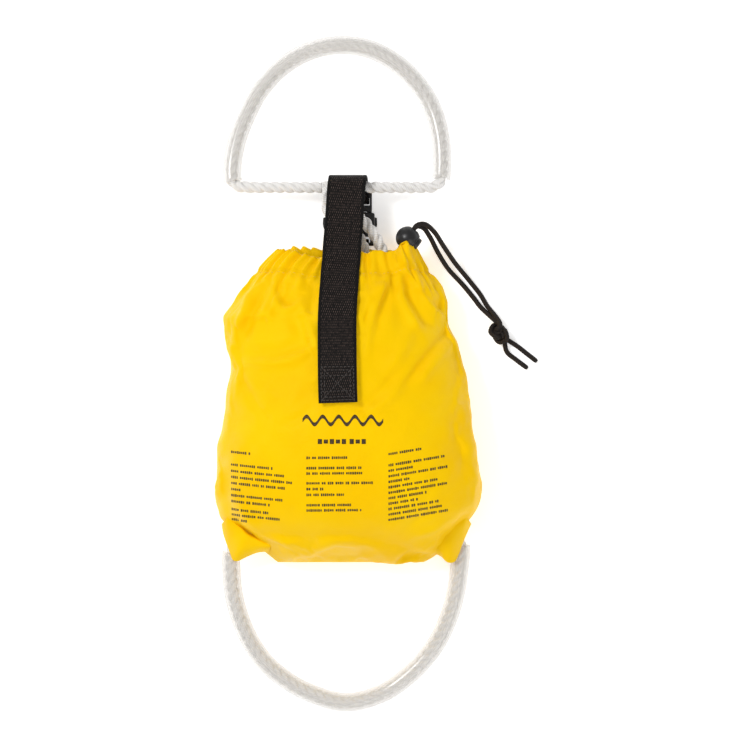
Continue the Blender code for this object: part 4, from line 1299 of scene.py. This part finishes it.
def addPrinting():
    # marks are flat grids, dropped onto the cloth from above and given a skin of ink
    blocks = textMarks()
    u, w = np.meshgrid(np.linspace(0, 1, 3), np.linspace(-0.5, 0.5, 3), indexing="xy")
    x = blocks[:, 0, None, None] + u * blocks[:, 2, None, None]
    y = blocks[:, 1, None, None] + w * blocks[:, 3, None, None]
    points = np.stack([x, y, np.full_like(x, printing["above"])], -1)
    quads = quadsOf(np.arange(9).reshape(3, 3))
    every = quads.reshape(1, -1, 4) + np.arange(len(blocks))[:, None, None] * 9
    verts, faces = points.reshape(-1, 3), every.reshape(-1, 4)
    # the wave: a ribbon of constant height about y = A sin(k x)
    wave = printing["wave"]
    run = np.linspace(0, 1, wave["points"])
    waveX = wave["x"] + wave["length"] * run
    waveY = wave["y"] + wave["swing"] * np.sin(2 * math.pi * wave["cycles"] * run)
    band = np.stack([np.stack([waveX, waveY + s * wave["half"], 0 * run + printing["above"]], 1)
                     for s in (-1, 0, 1)])
    grid = np.arange(3 * len(run)).reshape(3, -1) + len(verts)
    verts = np.concatenate([verts, band.reshape(-1, 3)])
    faces = np.concatenate([faces, quadsOf(grid).reshape(-1, 4)])
    mesh = bpy.data.meshes.new("frontPrint")
    mesh.from_pydata((verts * mm).tolist(), [], faces.tolist())
    mesh.shade_smooth()
    piece = addPiece("frontPrint", mesh, finish["ink"], "bag")
    drop = piece.modifiers.new("drop", "SHRINKWRAP")
    drop.wrap_method = "PROJECT"
    drop.target = bagPanels["bagFront"]
    drop.use_project_z = True
    drop.use_negative_direction, drop.use_positive_direction = True, False
    drop.offset = printing["lift"] * mm
    thicken(piece, printing["ink"])


addPrinting()
print("front printed")


# the plug's shoulders and the carried-over CAD pieces

shoulder = dict(middle=1.0, apart=12.85, y=108.3, z=6.0, half=(1.75, 0.8, 2.2), square=0.3)


def addShoulders():
    # the plug's two shoulders close the gap above the socket: blocks with rounded edges, where each
    # coordinate is half the size times a sine or cosine raised to a small power
    rise, turn = np.meshgrid(np.linspace(-math.pi / 2, math.pi / 2, 25),
                             np.linspace(0, 2 * math.pi, 48, endpoint=False), indexing="ij")
    power = lambda value: signedPower(value, shoulder["square"])
    level = power(np.where(np.abs(np.abs(rise) - math.pi / 2) < 1e-9, 0.0, np.cos(rise)))
    local = np.stack([level * power(np.cos(turn)), level * power(np.sin(turn)),
                      power(np.sin(rise))], -1) * shoulder["half"]
    uv = plainUv(local, 0.006, 0.01)
    for side, name in ((-1, "plugShoulderLeft"), (1, "plugShoulderRight")):
        centre = (shoulder["middle"] + side * shoulder["apart"], shoulder["y"], shoulder["z"])
        mesh = surfaceMesh(name, local + centre, uv, around=True)
        closeSeams(mesh)
        addPiece(name, mesh, finish["acetal"], "buckle_plug_body")


addShoulders()
for node, material in (("buckle_socket", "acetal"), ("buckle_plug", "acetal"),
                       ("buckle_arm_left", "acetal"), ("buckle_arm_right", "acetal"),
                       ("cord_lock_spring", "steel")):
    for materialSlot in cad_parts[node].material_slots:
        materialSlot.material = finish[material]
print("buckle and spring finished")


def addStudio():
    floor, tree, shader = newMaterial("paperSeamless", "#FFFFFF", 0.9)
    shader.inputs["Emission Color"].default_value = (1, 1, 1, 1)
    shader.inputs["Emission Strength"].default_value = studio["paperGlow"]
    addBump(tree, shader, noise(tree, objectOf(tree), 300.0, 3.0), 0.00005, 0.2)
    half = studio["floorSize"] / 2
    mesh = bpy.data.meshes.new("floor")
    mesh.from_pydata([(-half, -half, 0), (half, -half, 0), (half, half, 0), (-half, half, 0)], [],
                     [(0, 1, 2, 3)])
    mesh.materials.append(floor)
    ground = bpy.data.objects.new("floor", mesh)
    scene.collection.objects.link(ground)
    world = bpy.data.worlds.new("studioSky")
    world.use_nodes = True
    world.node_tree.nodes["Background"].inputs["Color"].default_value = (1, 1, 1, 1)
    world.node_tree.nodes["Background"].inputs["Strength"].default_value = studio["sky"]
    scene.world = world
    for name in ("key", "fill"):
        light = bpy.data.lights.new(name, "AREA")
        light.shape = "DISK"
        light.size = studio[name + "Size"]
        light.energy = studio[name + "Power"]
        lamp = bpy.data.objects.new(name, light)
        lamp.location = studio[name + "From"]
        lamp.rotation_euler = (-Vector(lamp.location)).to_track_quat("-Z", "Y").to_euler()
        scene.collection.objects.link(lamp)
    lens = bpy.data.cameras.new("camera")
    lens.sensor_width = 36.0
    lens.lens = 36.0 * studio["height"] / studio["frameWidth"]
    lens.clip_end = 50.0
    camera = bpy.data.objects.new("camera", lens)
    camera.location = (*studio["aim"], studio["height"] + 0.015)
    scene.collection.objects.link(camera)
    scene.camera = camera
    scene.view_settings.view_transform = "Standard"


addStudio()
print("studio lit")
